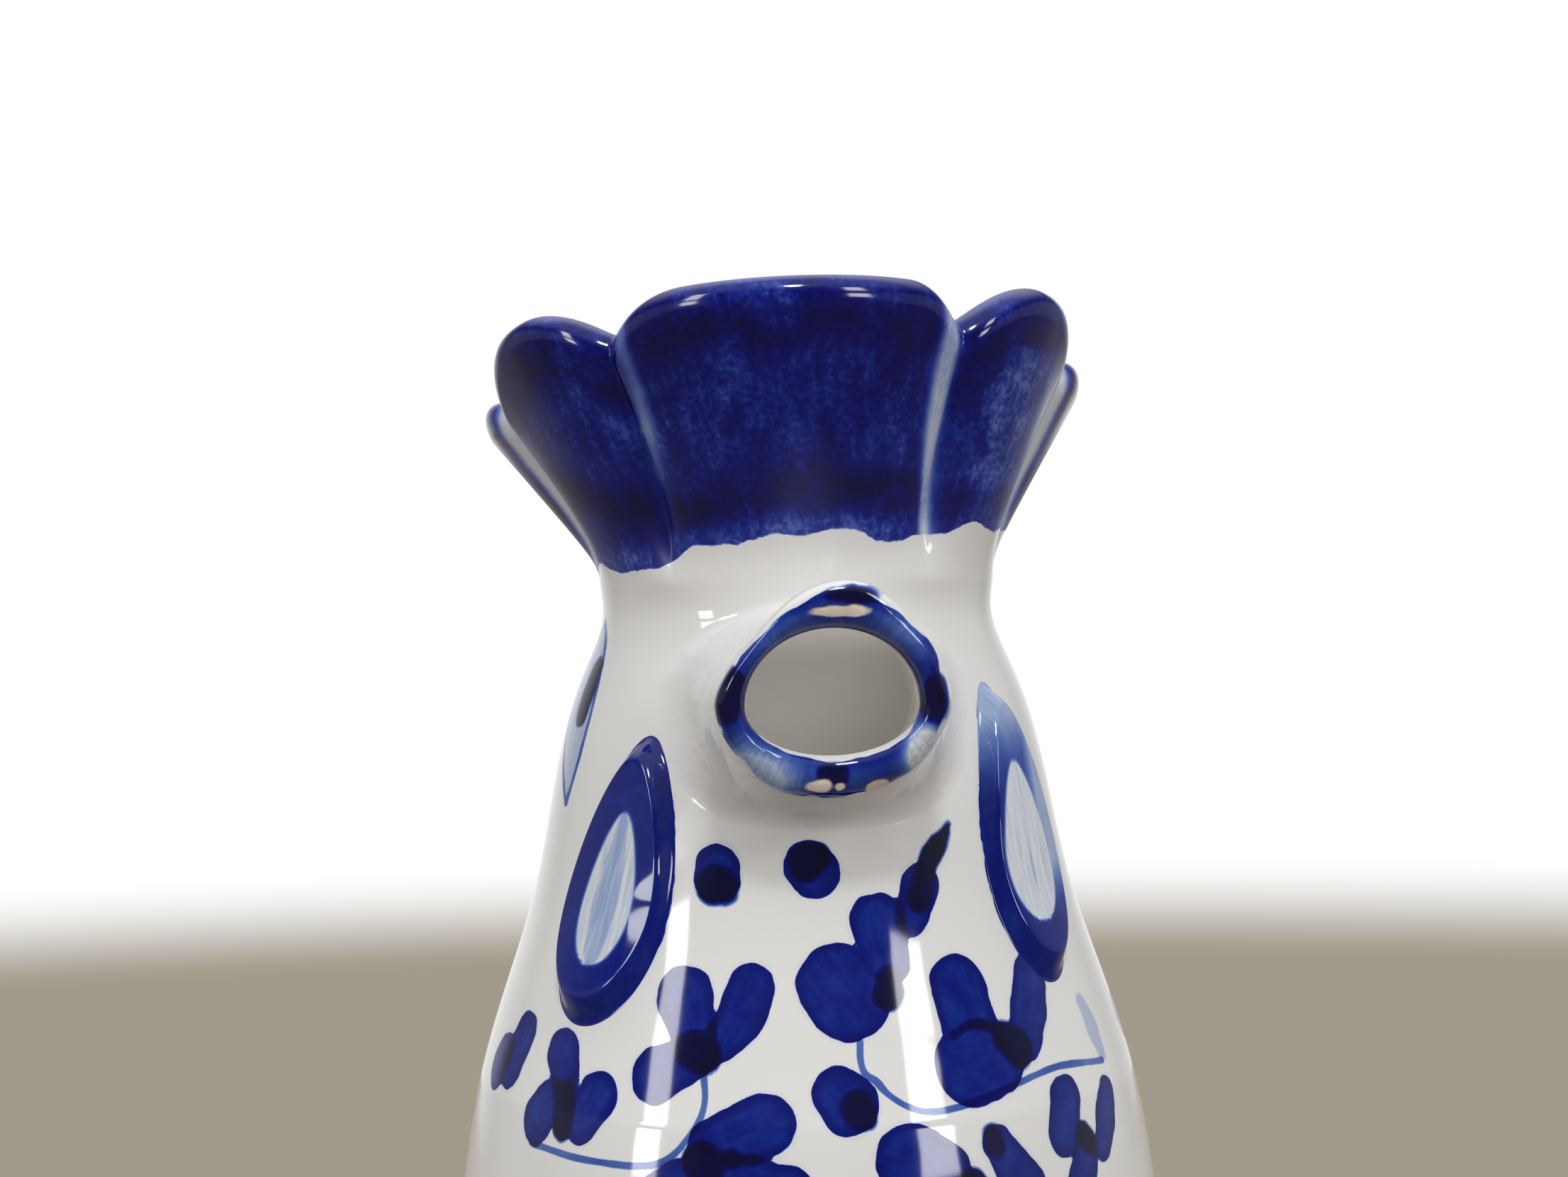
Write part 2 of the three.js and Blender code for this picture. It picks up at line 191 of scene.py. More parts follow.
# Handle: a strap on a curve from the back of the neck to the belly, and where it leaves its roots
HANDLE_TOP_HEIGHT = 116.0
HANDLE_FOOT_HEIGHT = 58.0
HANDLE_REACH = 48.0
HANDLE_ARCH = 24.0
HANDLE_LOW_REACH = 43.0
HANDLE_LOW_ARCH = 14.0
HANDLE_WIDTH = 15.0
HANDLE_THICKNESS = 9.0
HANDLE_SIDE_POWER = 0.85
HANDLE_THICKNESS_POWER = 0.9
HANDLE_TOP_ROOT_HEIGHT = 118.0
HANDLE_FOOT_ROOT_HEIGHT = 59.5
HANDLE_ROOT_WIDTH = 23.0
HANDLE_ROOT_HEIGHT = 19.0
HANDLE_ROOT_SUNK = 2.5
HANDLE_START = 0.13
HANDLE_FINISH = 0.85

# Fineness of the meshes: points round each piece, and rows along its parts
POT_COLUMNS = 440
POT_ROWS = 286
COMB_COLUMNS = 880
COMB_FLANK_ROWS, COMB_LIP_ROWS, COMB_LINING_ROWS = 72, 40, 34
BEAK_COLUMNS = 256
BEAK_FLANK_ROWS, BEAK_LIP_ROWS, BEAK_BORE_ROWS = 56, 44, 24
WATTLE_COLUMNS = 144
WATTLE_ROWS = 48
HANDLE_COLUMNS = 80
HANDLE_ROOT_ROWS, HANDLE_STRAP_ROWS = 40, 120
FLOOR_SIDES = 96


def smooth(low, high, value):
    share = np.clip((value - low) / (high - low), 0.0, 1.0)
    return share * share * (3.0 - 2.0 * share)


def hump(value, width):
    return np.exp(-((value / width) ** 2))


def waves(angle, *parts):
    """A sum of waves, each with its depth, number round the turn and phase."""
    return sum(depth * np.sin(count * angle + phase) for depth, count, phase in parts)


def turns(count):
    """Even steps round a full turn."""
    return np.arange(count) * 2 * math.pi / count


def wrapped(angle):
    """The same angle, between minus half a turn and half a turn."""
    return (angle + math.pi) % (2 * math.pi) - math.pi


def vectors(*parts):
    return np.stack(np.broadcast_arrays(*parts), axis=-1)


def unit(vector):
    return vector / np.linalg.norm(vector, axis=-1, keepdims=True)


def natural_spline(stations):
    """The natural cubic spline through stations of value and place, as a function of place."""
    value, place = (np.array(column) for column in zip(*stations))
    count = len(place)
    gap = np.diff(place)
    slope = np.diff(value) / gap
    matrix = np.eye(count)
    bend = np.zeros(count)
    for i in range(1, count - 1):
        matrix[i, i - 1 : i + 2] = gap[i - 1], 2 * (gap[i - 1] + gap[i]), gap[i]
        bend[i] = 6 * (slope[i] - slope[i - 1])
    bend = np.linalg.solve(matrix, bend)

    def at(where):
        i = np.clip(np.searchsorted(place, where) - 1, 0, count - 2)
        after = where - place[i]
        before = place[i + 1] - where
        curve = (bend[i] * before**3 + bend[i + 1] * after**3) / (6 * gap[i])
        start = (value[i] / gap[i] - bend[i] * gap[i] / 6) * before
        end = (value[i + 1] / gap[i] - bend[i + 1] * gap[i] / 6) * after
        return curve + start + end

    return at


pot_radius = natural_spline(PROFILE)


def pot_slope(height, step=0.05):
    return (pot_radius(height + step) - pot_radius(height - step)) / (2 * step)


def stretch(height):
    """Length along the pot's profile for each length upwards."""
    return np.sqrt(1 + pot_slope(height) ** 2)


def wobble(angle, height):
    uneven = sum(deep * np.sin(n * angle + phase + height / twist) for deep, n, phase, twist in WOBBLES)
    return uneven * smooth(BASE_BEVEL, 12.0, height)


def skin_radius(angle, height):
    return pot_radius(height) + wobble(angle, height)


def lining_radius(angle, height):
    """Radius of the pot's inside, which is even all round."""
    return pot_radius(height) - WALL * stretch(height)


def polar(angle, radius, height):
    return vectors(radius * np.sin(angle), -radius * np.cos(angle), height)


def on_skin(angle, height, lift=0.0):
    """Points on the pot's skin, raised along its normal, and the normals."""
    step = 1e-3
    point = polar(angle, skin_radius(angle, height), height)
    round_step = polar(angle + step, skin_radius(angle + step, height), height) - point
    up_step = polar(angle, skin_radius(angle, height + step), height + step) - point
    normal = unit(np.cross(round_step, up_step))
    return point + normal * np.expand_dims(lift, -1), normal


def front_of_skin(x, height):
    """Angles at which the skin lies in front of, or behind, points at the side x."""
    angle = np.arcsin(x / pot_radius(height))
    for _ in range(6):
        angle = np.arcsin(x / skin_radius(angle, height))
    return angle


def add_object(name, data):
    made = bpy.data.objects.new(name, data)
    bpy.context.scene.collection.objects.link(made)
    return made


class Mesh:
    """Points and faces of one closed piece, with a bake map.

    It starts as a lattice of rows of points that close round. The last row is joined to the first, or each
    of the two is closed by a fan to its middle, the pole.
    """

    def __init__(self, rows, joined=False, without=()):
        self.points = np.zeros((0, 3))
        self.faces = []
        self.maps = []
        self.fixed_normals = {}
        self.index = index = self.add_points(rows)
        count, columns = index.shape
        looped = np.concatenate([rows, rows[:1]]) if joined else rows
        steps = np.linalg.norm(np.diff(looped, axis=0), axis=-1).mean(axis=1)
        self.along = np.concatenate([[0.0], np.cumsum(steps)]) / steps.sum()
        r, c = np.meshgrid(np.arange(len(steps)), np.arange(columns), indexing="ij")
        up, right = (r + 1) % count, (c + 1) % columns
        quads = vectors(index[r, c], index[r, right], index[up, right], index[up, c])
        u, next_u = c / columns, (c + 1) / columns
        v, next_v = self.along[r], self.along[r + 1]
        corners = (vectors(u, v), vectors(next_u, v), vectors(next_u, next_v), vectors(u, next_v))
        kept = np.ones(r.shape, bool)
        for block in without:
            kept[block] = False
        self.add_faces(quads[kept], np.stack(corners, axis=-2)[kept])
        if not joined:
            self.low_pole = self.add_pole(index[0], upwards=False)
            self.high_pole = self.add_pole(index[-1], upwards=True)

    def add_points(self, points):
        start = len(self.points)
        self.points = np.concatenate([self.points, points.reshape(-1, 3)])
        return np.arange(start, len(self.points)).reshape(points.shape[:-1])

    def add_faces(self, faces, maps):
        self.faces += faces.reshape(-1, faces.shape[-1]).tolist()
        self.maps.append(maps.reshape(-1, 2))

    def add_pole(self, ring, upwards):
        pole = self.add_points(self.points[ring].mean(axis=0, keepdims=True))[0]
        after = np.roll(ring, -1)
        fan = vectors(ring, after, pole) if upwards else vectors(after, ring, pole)
        self.add_faces(fan, np.full(fan.shape + (2,), float(upwards)))
        return pole

    def add_band(self, first, second):
        """Quads between two closed loops of as many points, each with its places on the bake map."""
        (one, one_map), (two, two_map) = first, second
        maps = [one_map, np.roll(one_map, -1, 0), np.roll(two_map, -1, 0), two_map]
        self.add_faces(vectors(one, np.roll(one, -1), np.roll(two, -1), two), np.stack(maps, axis=1))

    def spread(self, index, values, elsewhere):
        """A channel that has values at some points, and one value elsewhere."""
        full = np.full((len(self.points),) + values.shape[1:], elsewhere)
        full[index.ravel()] = values
        return full

    def fix_normals(self, index, normals):
        """Keeps the shading of a seam even with the skin that it meets."""
        self.fixed_normals.update(zip(index.tolist(), normals.tolist()))

    def make(self, name, node, material, channels):
        data = bpy.data.meshes.new(name)
        data.from_pydata((self.points * MM).tolist(), [], self.faces)
        data.shade_smooth()
        bake_map = data.uv_layers.new(name="OFBake")
        bake_map.data.foreach_set("uv", np.concatenate(self.maps).ravel())
        for channel, values in channels.items():
            kind, field = ("FLOAT_VECTOR", "vector") if values.ndim == 2 else ("FLOAT", "value")
            attribute = data.attributes.new(channel, kind, "POINT")
            attribute.data.foreach_set(field, values.astype(np.float32).ravel())
        if self.fixed_normals:
            normals = np.zeros(len(self.points) * 3, np.float32)
            data.vertex_normals.foreach_get("vector", normals)
            normals = normals.reshape(-1, 3)
            normals[list(self.fixed_normals)] = list(self.fixed_normals.values())
            data.normals_split_custom_set_from_vertices(normals.tolist())
        data.materials.append(material)
        piece = add_object(name, data)
        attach(piece, "root")
        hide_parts(node)


def curve_through(marks, samples):
    """Samples of a smooth curve through marks of angle (degrees) and height, and how far along each is."""
    marks = np.array(marks, float) * [math.pi / 180, 1.0]
    ends = np.concatenate([[2 * marks[0] - marks[1]], marks, [2 * marks[-1] - marks[-2]]])
    share = np.linspace(0, 1, samples)
    place = share * (len(marks) - 1)
    i = np.minimum(place.astype(int), len(marks) - 2)
    t = (place - i)[:, None]
    a, b, c, d = (ends[i + step] for step in range(4))
    path = b + 0.5 * t * (c - a + t * (2 * a - 5 * b + 4 * c - d + t * (3 * (b - c) + d - a)))
    return path, share


class Paint:
    """Brush marks on points that have an angle (radians) and a height on the pot's skin."""

    def __init__(self, angle, height):
        self.angle = angle.ravel()
        self.height = height.ravel()
        self.radius = pot_radius(self.height)
        self.stretch = stretch(self.height)
        size = self.angle.size
        self.channels = {name: np.full(size, FAR) for name in ("coat", "second", "wash")}
        self.channels["line"] = np.full((size, 3), FAR)
        self.channels["grain"] = np.zeros((size, 3))
        self.marks = 0

    def near(self, path, reach):
        """Points within reach of a path, and their distances across and upwards from its samples."""
        middle = path[:, 0].mean()
        span = np.abs(path[:, 0] - middle).max() + reach / pot_radius(path[:, 1]).min()
        turn = wrapped(self.angle - middle)
        low, high = path[:, 1].min() - reach, path[:, 1].max() + reach
        chosen = np.flatnonzero((np.abs(turn) < span) & (self.height > low) & (self.height < high))
        across = (turn[chosen, None] - (path[:, 0] - middle)) * self.radius[chosen, None]
        rise = (self.height[chosen, None] - path[:, 1]) * self.stretch[chosen, None]
        return chosen, across, rise

    def lay(self, layer, chosen, edge):
        values = self.channels[layer]
        values[chosen] = np.minimum(values[chosen], edge)

    def stroke(self, *marks, layer="coat", samples=14):
        """One touch of the brush through marks of angle, height and half width.

        Where it crosses the coat it adds a second one, unless it is joined to what is there.
        """
        marks = np.array(marks)
        sizes = marks[:, 2]
        path, share = curve_through(marks[:, :2], samples)
        half = np.interp(share, np.linspace(0, 1, len(sizes)), sizes)
        chosen, across, rise = self.near(path, sizes.max() + 2.0)
        edge = (np.hypot(across, rise) - half).min(axis=1)
        self.marks += 1
        if layer not in ("coat", "joined"):
            self.lay(layer, chosen, edge)
            return
        before = self.channels["coat"][chosen]
        if layer == "coat":
            self.lay("second", chosen, np.maximum(before, edge))
        self.lay("coat", chosen, edge)
        upper = edge < before
        way = (path[-1] - path[0]) * [pot_radius(path[0, 1]), 1]
        along = way / (np.hypot(*way) + 1e-6)
        offset = vectors(across[:, 0], rise[:, 0])
        grain = vectors(offset @ along, offset @ [-along[1], along[0]], 7.0 * self.marks)
        self.channels["grain"][chosen[upper]] = grain[upper]

    def dark(self, *marks):
        """A place where the brush went over the paint again."""
        self.stroke(*marks)
        self.stroke(*marks, layer="second")

    def stem(self, *marks):
        """A thin line, kept as the offset of each point near it, so that it stays even between points."""
        path, _ = curve_through(marks, 40 * len(marks))
        chosen, across, rise = self.near(path, 2.5)
        reach = np.hypot(across, rise)
        nearest = np.arange(len(chosen)), reach.argmin(axis=1)
        gap = reach[nearest]
        line = self.channels["line"]
        closer = gap < np.linalg.norm(line[chosen], axis=1)
        offset = vectors(across[nearest], rise[nearest], FAR * smooth(1.0, 1.8, gap))
        line[chosen[closer]] = offset[closer]

    def flower(self, angle, height, turn, size):
        """Three petals round a dark middle."""
        radius = float(pot_radius(height))

        def at(direction, length, half):
            aim = math.radians(turn + direction)
            side = math.degrees(length * math.sin(aim) / radius)
            return angle + side, height + length * math.cos(aim) * 0.95, half * size

        for direction, length, half in ((0, 5.6, 2.9), (118, 5.2, 3.2), (236, 5.0, 2.8)):
            self.stroke(at(direction, 1.6 * size, 1.9), at(direction, length * size, half))
        self.dark(at(40, 0.5, 1.5), at(220, 0.6, 1.7))

    def spray(self, angle, height, turn, size=1.0):
        """A flower with a stem that runs to one side and ends in a bud."""
        self.flower(angle, height, turn, size)
        side = 1 if turn > 0 else -1
        reach = side * 620.0 / float(pot_radius(height)) * size
        low = height - 8 * size
        self.stem((angle, height - 2), (angle + 0.3 * reach, low), (angle + 0.9 * reach, low))
        bud = (angle + 1.05 * reach, height - 7 * size, 1.6 * size)
        self.stroke(bud, (angle + 1.2 * reach, height - 5 * size, 2.3 * size))


def paint_front(paint):
    """The marks that face the viewer, as the photo shows them."""
    stroke, dark, stem = paint.stroke, paint.dark, paint.stem

    # Two dots under the beak
    stroke((-22.4, 98.1, 2.5), (-22.2, 96.8, 2.55))
    stroke((-22.0, 96.0, 2.1), (-22.4, 96.3, 2.1), layer="second")
    stroke((-3.6, 98.2, 2.7), (-2.6, 97.6, 2.75))
    stroke((-4.2, 98.6, 1.9), (-2.2, 99.0, 1.5), layer="second")

    # The spray that climbs to the right, the bud below it, and the stem that runs on under the next flower
    stroke((2.6, 84.7, 4.5), (1.2, 86.0, 4.5))
    stroke((10.2, 88.0, 2.5), (9.4, 92.2, 3.1), layer="joined")
    stroke((16.4, 92.2, 1.8), (19.2, 96.0, 2.2))
    dark((18.2, 94.0, 1.1), (20.2, 96.9, 1.3))
    dark((21.4, 98.0, 1.1), (24.0, 99.6, 1.2), (27.4, 101.7, 0.3))
    dark((10.2, 86.4, 1.4), (10.0, 84.9, 1.5))
    stroke((0.4, 75.4, 2.9), (1.8, 74.2, 3.1))
    dark((3.0, 74.0, 1.6), (3.6, 73.2, 1.6))
    fall = ((4.2, 80.4), (4.0, 78.8), (4.6, 77.3), (6.3, 76.5), (8.2, 75.1))
    stem(*fall, (11.2, 73.8), (15.0, 73.1), (21.0, 73.4), (30.3, 74.6), (42.0, 75.6), (57.0, 74.8))

    # The flower at the right, and a pale leaf
    stroke((24.5, 81.2, 3.5), (23.9, 85.2, 3.4))
    stroke((35.6, 78.6, 2.2), (38.6, 81.8, 2.8), (41.2, 85.0, 2.6))
    stroke((28.2, 77.6, 4.0), (23.2, 77.2, 4.3), layer="joined")
    stroke((21.0, 80.4, 0.3), (25.6, 81.3, 0.35), (30.0, 80.4, 0.5), layer="second")
    dark((31.8, 79.4, 1.8), (33.6, 78.2, 2.2))
    stroke((55.6, 81.2, 1.0), (56.6, 78.4, 1.6), (57.8, 75.4, 0.8), layer="wash")

    # The flower at the left, with its stem
    stroke((-23.8, 80.8, 2.2), (-26.8, 84.9, 3.2))
    stroke((-19.4, 80.2, 1.9), (-16.2, 82.8, 2.6), (-14.6, 86.0, 2.5))
    stroke((-23.6, 79.0, 2.2), (-30.0, 77.0, 3.0))
    dark((-24.2, 79.6, 1.9), (-21.8, 79.2, 1.8))
    stem((-22.0, 78.0), (-21.3, 74.4), (-23.2, 71.4), (-28.6, 68.2), (-41.0, 67.8), (-55.0, 68.4))

    # The flower at the far left, and two petals beyond it
    stroke((-48.4, 74.6, 1.8), (-51.0, 78.2, 2.6))
    stroke((-51.6, 73.2, 2.4), (-54.2, 70.9, 2.7))
    stroke((-43.6, 71.4, 2.3), (-41.2, 74.2, 2.7))
    dark((-48.2, 74.0, 1.4), (-47.6, 70.8, 1.5))
    stroke((-64.0, 79.2, 2.4), (-66.6, 75.6, 2.9))
    stroke((-71.0, 76.4, 2.4), (-72.5, 74.6, 2.6))

    # Three flowers at the lower edge of the photo, from left to right
    stroke((-20.0, 70.4, 2.6), (-11.6, 72.5, 3.3))
    stroke((-17.0, 67.6, 2.2), (-8.4, 65.6, 3.1))
    stroke((-24.0, 67.0, 2.2), (-29.4, 63.8, 3.0))
    dark((-21.6, 68.9, 1.9), (-20.6, 68.2, 1.9))
    stroke((15.6, 66.6, 3.6), (11.0, 68.6, 3.8))
    stroke((26.0, 69.2, 2.0), (30.4, 64.6, 2.7))
    stroke((19.0, 63.4, 2.2), (16.6, 59.6, 2.9))
    dark((25.4, 70.0, 1.2), (25.6, 68.8, 1.3))
    dark((20.4, 65.6, 1.7), (21.4, 64.8, 1.7))
    stroke((40.2, 68.8, 2.5), (42.4, 72.3, 2.6))
    stroke((50.2, 66.4, 1.6), (53.0, 69.2, 2.2), (55.6, 71.6, 1.8))
    stroke((45.0, 66.0, 2.0), (42.4, 62.8, 2.6))
    dark((45.0, 68.2, 1.4), (46.4, 67.2, 1.4))


def paint_scatter(paint):
    """The same flowers over the rest of the pot, row by row, and dots at the back."""
    for row, (height, count, start, size) in enumerate(FLOWER_ROWS):
        for i in range(count):
            swing = math.sin(5.1 * i + 2.3 * row)
            angle = start + 360.0 * i / count + 5.0 * swing
            paint.spray(angle, height + 2.5 * math.cos(3.7 * i + row), 70.0 * swing, size)
    for i, angle in enumerate(BACK_FLOWERS):
        paint.spray(angle, BACK_FLOWER_HEIGHT + 4.0 * math.sin(2.9 * i), 55.0 * math.cos(1.7 * i))
    for angle in BACK_DOTS:
        paint.stroke((angle, 97.6, 2.4), (angle + 0.4, 96.6, 2.5))


def teardrop(turn):
    """Half width of a teardrop of unit half width, at a turn that starts from its blunt point at the top."""
    even, bias = (1 + WATTLE_BLUNTNESS) / 2, (1 - WATTLE_BLUNTNESS) / 2
    fullest = (even - math.hypot(even, math.sqrt(8) * bias)) / (4 * bias)
    fullest_side = math.sqrt(1 - fullest**2) * (even - bias * fullest)
    return np.sin(turn) * (even - bias * np.cos(turn)) / fullest_side


def wattle_places(wattle, turn, scale):
    """Angles and heights on the skin of a wattle's outline, scaled about its middle."""
    angle, middle, length, width, lean = wattle
    rise = length / 2 * np.cos(turn) * scale
    side = width / 2 * teardrop(turn) * scale - math.copysign(lean, angle) * rise
    height = middle + rise
    return math.radians(angle) + side / pot_radius(height), height


def paint_face(paint):
    """Eyes on both sides, and the blue that runs out from under the wattles' edges."""
    for side, shift in ((-1, 0.0), (1, EYE_RIGHT_SHIFT)):
        paint.stem(*[(side * front + shift, height) for front, _, height, _ in EYE])
        paint.stem(*[(side * back + shift, height) for _, back, height, _ in EYE])
        wash = [(side * (front + back) / 2 + shift, height, half) for front, back, height, half in EYE]
        paint.stroke(*wash, layer="wash", samples=40)
        paint.dark(*[(side * angle + shift, height, half) for angle, height, half in PUPIL])
    turn = np.linspace(0, 2 * math.pi, 73)
    for wattle in (WATTLE_LEFT, WATTLE_RIGHT):
        for scale in (0.55, 0.92):
            angle, height = wattle_places(wattle, turn, scale)
            paint.stroke(*vectors(np.degrees(angle), height, 0.6), samples=150)


def beak_outline(turn, half_width, rise, drop, peak=0.0, skew=0.0):
    """Offsets to the side and upwards of an outline of the beak, which a peak draws in above the corners."""
    swing = np.sin(turn)
    above = np.clip(swing, 0, 1)
    up = np.where(swing > 0, rise * above * (1 - peak + peak * above), drop * swing)
    return half_width * np.cos(turn) + skew * above**2, up


def beak_root_outline(turn):
    """Offsets of the root's outline, which is squarer below the corners."""
    squareness = 2 + smooth(0.0, -0.5, np.sin(turn))
    height = np.where(np.sin(turn) > 0, BEAK_ROOT_RISE, BEAK_ROOT_DROP)
    across = np.abs(np.cos(turn) / BEAK_ROOT_HALF_WIDTH) ** squareness
    upright = np.abs(np.sin(turn) / height) ** squareness
    reach = (across + upright) ** (-1 / squareness)
    return reach * np.cos(turn), reach * np.sin(turn)


def hole_outline(turn, grow=0.0):
    return beak_outline(turn, BEAK_HOLE_HALF_WIDTH + grow, BEAK_HOLE_RISE + grow, BEAK_HOLE_DROP + grow)


def make_pot(material):
    angle = turns(POT_COLUMNS) - math.pi
    rise = np.linspace(BASE_BEVEL, SEAM_HEIGHT, POT_ROWS)
    low, high = BEAK_HEIGHT - BEAK_HOLE_DROP - HOLE_BELOW, BEAK_HEIGHT + BEAK_HOLE_RISE + HOLE_ABOVE

    def ring(radius, height):
        return polar(angle, radius, height)

    foot = [ring(radius, 0.0) for radius in BASE_RINGS]
    for turn in np.linspace(0, math.pi / 2, 6)[:-1]:
        foot.append(ring(BASE_RADIUS + BASE_BEVEL * math.sin(turn), BASE_BEVEL * (1 - math.cos(turn))))
    outside = [ring(skin_radius(angle, height), height) for height in rise]
    coarse = np.arange(math.floor(low - 2.0), FLOOR_THICKNESS + FLOOR_FILLET, -2.0)
    fall = np.concatenate([rise[rise > low - 1.0][::-1], coarse])
    inner_radius = lining_radius(0.0, fall)
    inside = [ring(radius, height) for radius, height in zip(inner_radius, fall)]
    for turn in np.linspace(0, math.pi / 2, 9)[1:]:
        radius = inner_radius[-1] - FLOOR_FILLET * (1 - math.cos(turn))
        inside.append(ring(radius, fall[-1] - (fall[-1] - FLOOR_THICKNESS) * math.sin(turn)))
    inside += [ring(radius, FLOOR_THICKNESS) for radius in FLOOR_RINGS]

    # The hole for the beak: a block of the lattice is left out of both walls, and bridged to the hole
    first_column, last_column = np.flatnonzero(np.abs(np.degrees(angle)) < HOLE_SIDE_ANGLE)[[0, -1]]
    first_row, last_row = len(foot) + np.flatnonzero((rise > low) & (rise < high))[[0, -1]]
    start = len(foot) + len(outside)
    last_inner, first_inner = start + np.flatnonzero((fall > low) & (fall < high))[[0, -1]]
    columns = slice(first_column, last_column)
    blocks = ((slice(first_row, last_row), columns), (slice(last_inner, first_inner), columns))
    mesh = Mesh(np.stack(foot + outside + inside), without=blocks)
    index = mesh.index

    def border(bottom, top):
        """Points round a block that was left out, and their places on the bake map."""
        step = 1 if top > bottom else -1
        walk = [(bottom, c) for c in range(first_column, last_column)]
        walk += [(r, last_column) for r in range(bottom, top, step)]
        walk += [(top, c) for c in range(last_column, first_column, -1)]
        walk += [(r, first_column) for r in range(top, bottom, -step)]
        r, c = np.array(walk).T
        return index[r, c], vectors(c / POT_COLUMNS, mesh.along[r])

    def shrunk(uv, share):
        return uv.mean(axis=0) + (uv - uv.mean(axis=0)) * share

    def patch(outline, flare, wall_radius, facing_out):
        """Rings on a wall from the outline of a block to the hole, which widens by a flare."""
        x, y, from_height = mesh.points[outline[0]].T
        from_angle = np.arctan2(x, -y)
        aim = np.arctan2(from_height - BEAK_HEIGHT, x)
        depth = np.where(np.sin(aim) > 0, BEAK_HOLE_RISE, BEAK_HOLE_DROP) + flare
        width = BEAK_HOLE_HALF_WIDTH + flare
        side, up = hole_outline(np.arctan2(np.sin(aim) / depth, np.cos(aim) / width), flare)
        to_height = BEAK_HEIGHT + up
        to_angle = np.arcsin(side / wall_radius(from_angle, to_height))
        before = outline
        for share in np.linspace(0, 1, 13)[1:]:
            angles = from_angle + (to_angle - from_angle) * share
            heights = from_height + (to_height - from_height) * share
            points = mesh.add_points(polar(angles, wall_radius(angles, heights), heights))
            after = points, shrunk(outline[1], 1 - 0.4 * share)
            mesh.add_band(*((before, after) if facing_out else (after, before)))
            before = after
        return before

    outer_border, inner_border = border(first_row, last_row), border(first_inner, last_inner)
    outer_hole = patch(outer_border, BEAK_BORE_FLARE, skin_radius, True)
    first_lining = len(mesh.points)
    inner_hole = patch(inner_border, 2 * BEAK_BORE_FLARE, lining_radius, False)
    mesh.add_band(outer_hole, (inner_hole[0], shrunk(outer_border[1], 0.3)))
    mesh.fix_normals(index[start - 1], on_skin(angle, SEAM_HEIGHT)[1])

    paint = Paint(*np.broadcast_arrays(angle[None, :], rise[:, None]))
    paint_front(paint)
    paint_scatter(paint)
    paint_face(paint)
    painted = index[len(foot) : start]
    channels = {name: mesh.spread(painted, values, FAR) for name, values in paint.channels.items()}
    bare = np.repeat(np.linspace(-3, 0.3, len(foot)), POT_COLUMNS)
    channels["clay"] = mesh.spread(index[: len(foot)], bare, FAR)
    channels["clay"][mesh.low_pole] = -3.0
    channels["inside"] = mesh.spread(index[start:], np.ones(index[start:].size), 0.0)
    channels["inside"][first_lining:] = 1.0
    channels["inside"][mesh.high_pole] = 1.0
    mesh.make("glazed_pot", "pot_body", material, channels)


def comb_notches():
    """Angles of the notches between the lobes, the first at the left of the broad front lobe."""
    other = (360.0 - COMB_FRONT_LOBE_ANGLE) / (COMB_LOBES - 1)
    left, right = (COMB_TURN + side * COMB_FRONT_LOBE_ANGLE / 2 for side in (-1, 1))
    return np.radians([left] + [right + other * i for i in range(COMB_LOBES - 1)])


def comb_crest(angle):
    """How near each angle is to the middle of its lobe: 0 in a notch and 1 in the middle."""
    front = math.radians(COMB_FRONT_LOBE_ANGLE)
    other = (2 * math.pi - front) / (COMB_LOBES - 1)
    turn = (angle - comb_notches()[0]) % (2 * math.pi)
    share = np.where(turn < front, turn / front, ((turn - front) / other) % 1.0)
    return np.sqrt(np.sin(math.pi * share) ** 2 + CREST_SOFTNESS) ** LOBE_FULLNESS


def notch_drop(angle):
    """How far the rim falls towards the notches, with a rounded bottom in each."""
    drop = np.zeros_like(angle)
    for place, (depth, before, after) in zip(comb_notches(), NOTCHES):
        turn = np.degrees(wrapped(angle - place))
        share = np.where(turn < 0, turn / before, turn / after)
        drop = np.maximum(drop, depth * np.clip(1 - np.sqrt(share**2 + NOTCH_SOFTNESS), 0, 1) ** 2)
    return drop


def paint_edge_height(angle):
    """Height of the wavy lower edge of the comb's blue, lower at the left of the beak than at its right."""
    drop = 3.6 * smooth(0.0, 1.3, -angle) - 0.4 * smooth(0.4, 0.9, angle)
    return COMB_PAINT_HEIGHT + waves(angle, *COMB_PAINT_WAVES) - drop * smooth(3.1, 1.7, np.abs(angle))


def bare_and_lit_grooves(angle, radius, height):
    """How far the paint missed grooves and lobe sides turned from the brush; partly painted light."""
    notches = comb_notches()
    bare = np.zeros_like(radius)
    for notch, offset, half, widening, strength, low, high in BARE_AND_LIT_BANDS:
        reach = half + widening * smooth(130.0, 158.0, height)
        aside = wrapped(angle - notches[notch]) * radius - offset * smooth(130.0, 152.0, height)
        band = strength * smooth(reach, 0.1 * reach, np.abs(aside))
        bare = np.maximum(bare, band * smooth(low, high, height))
    return bare


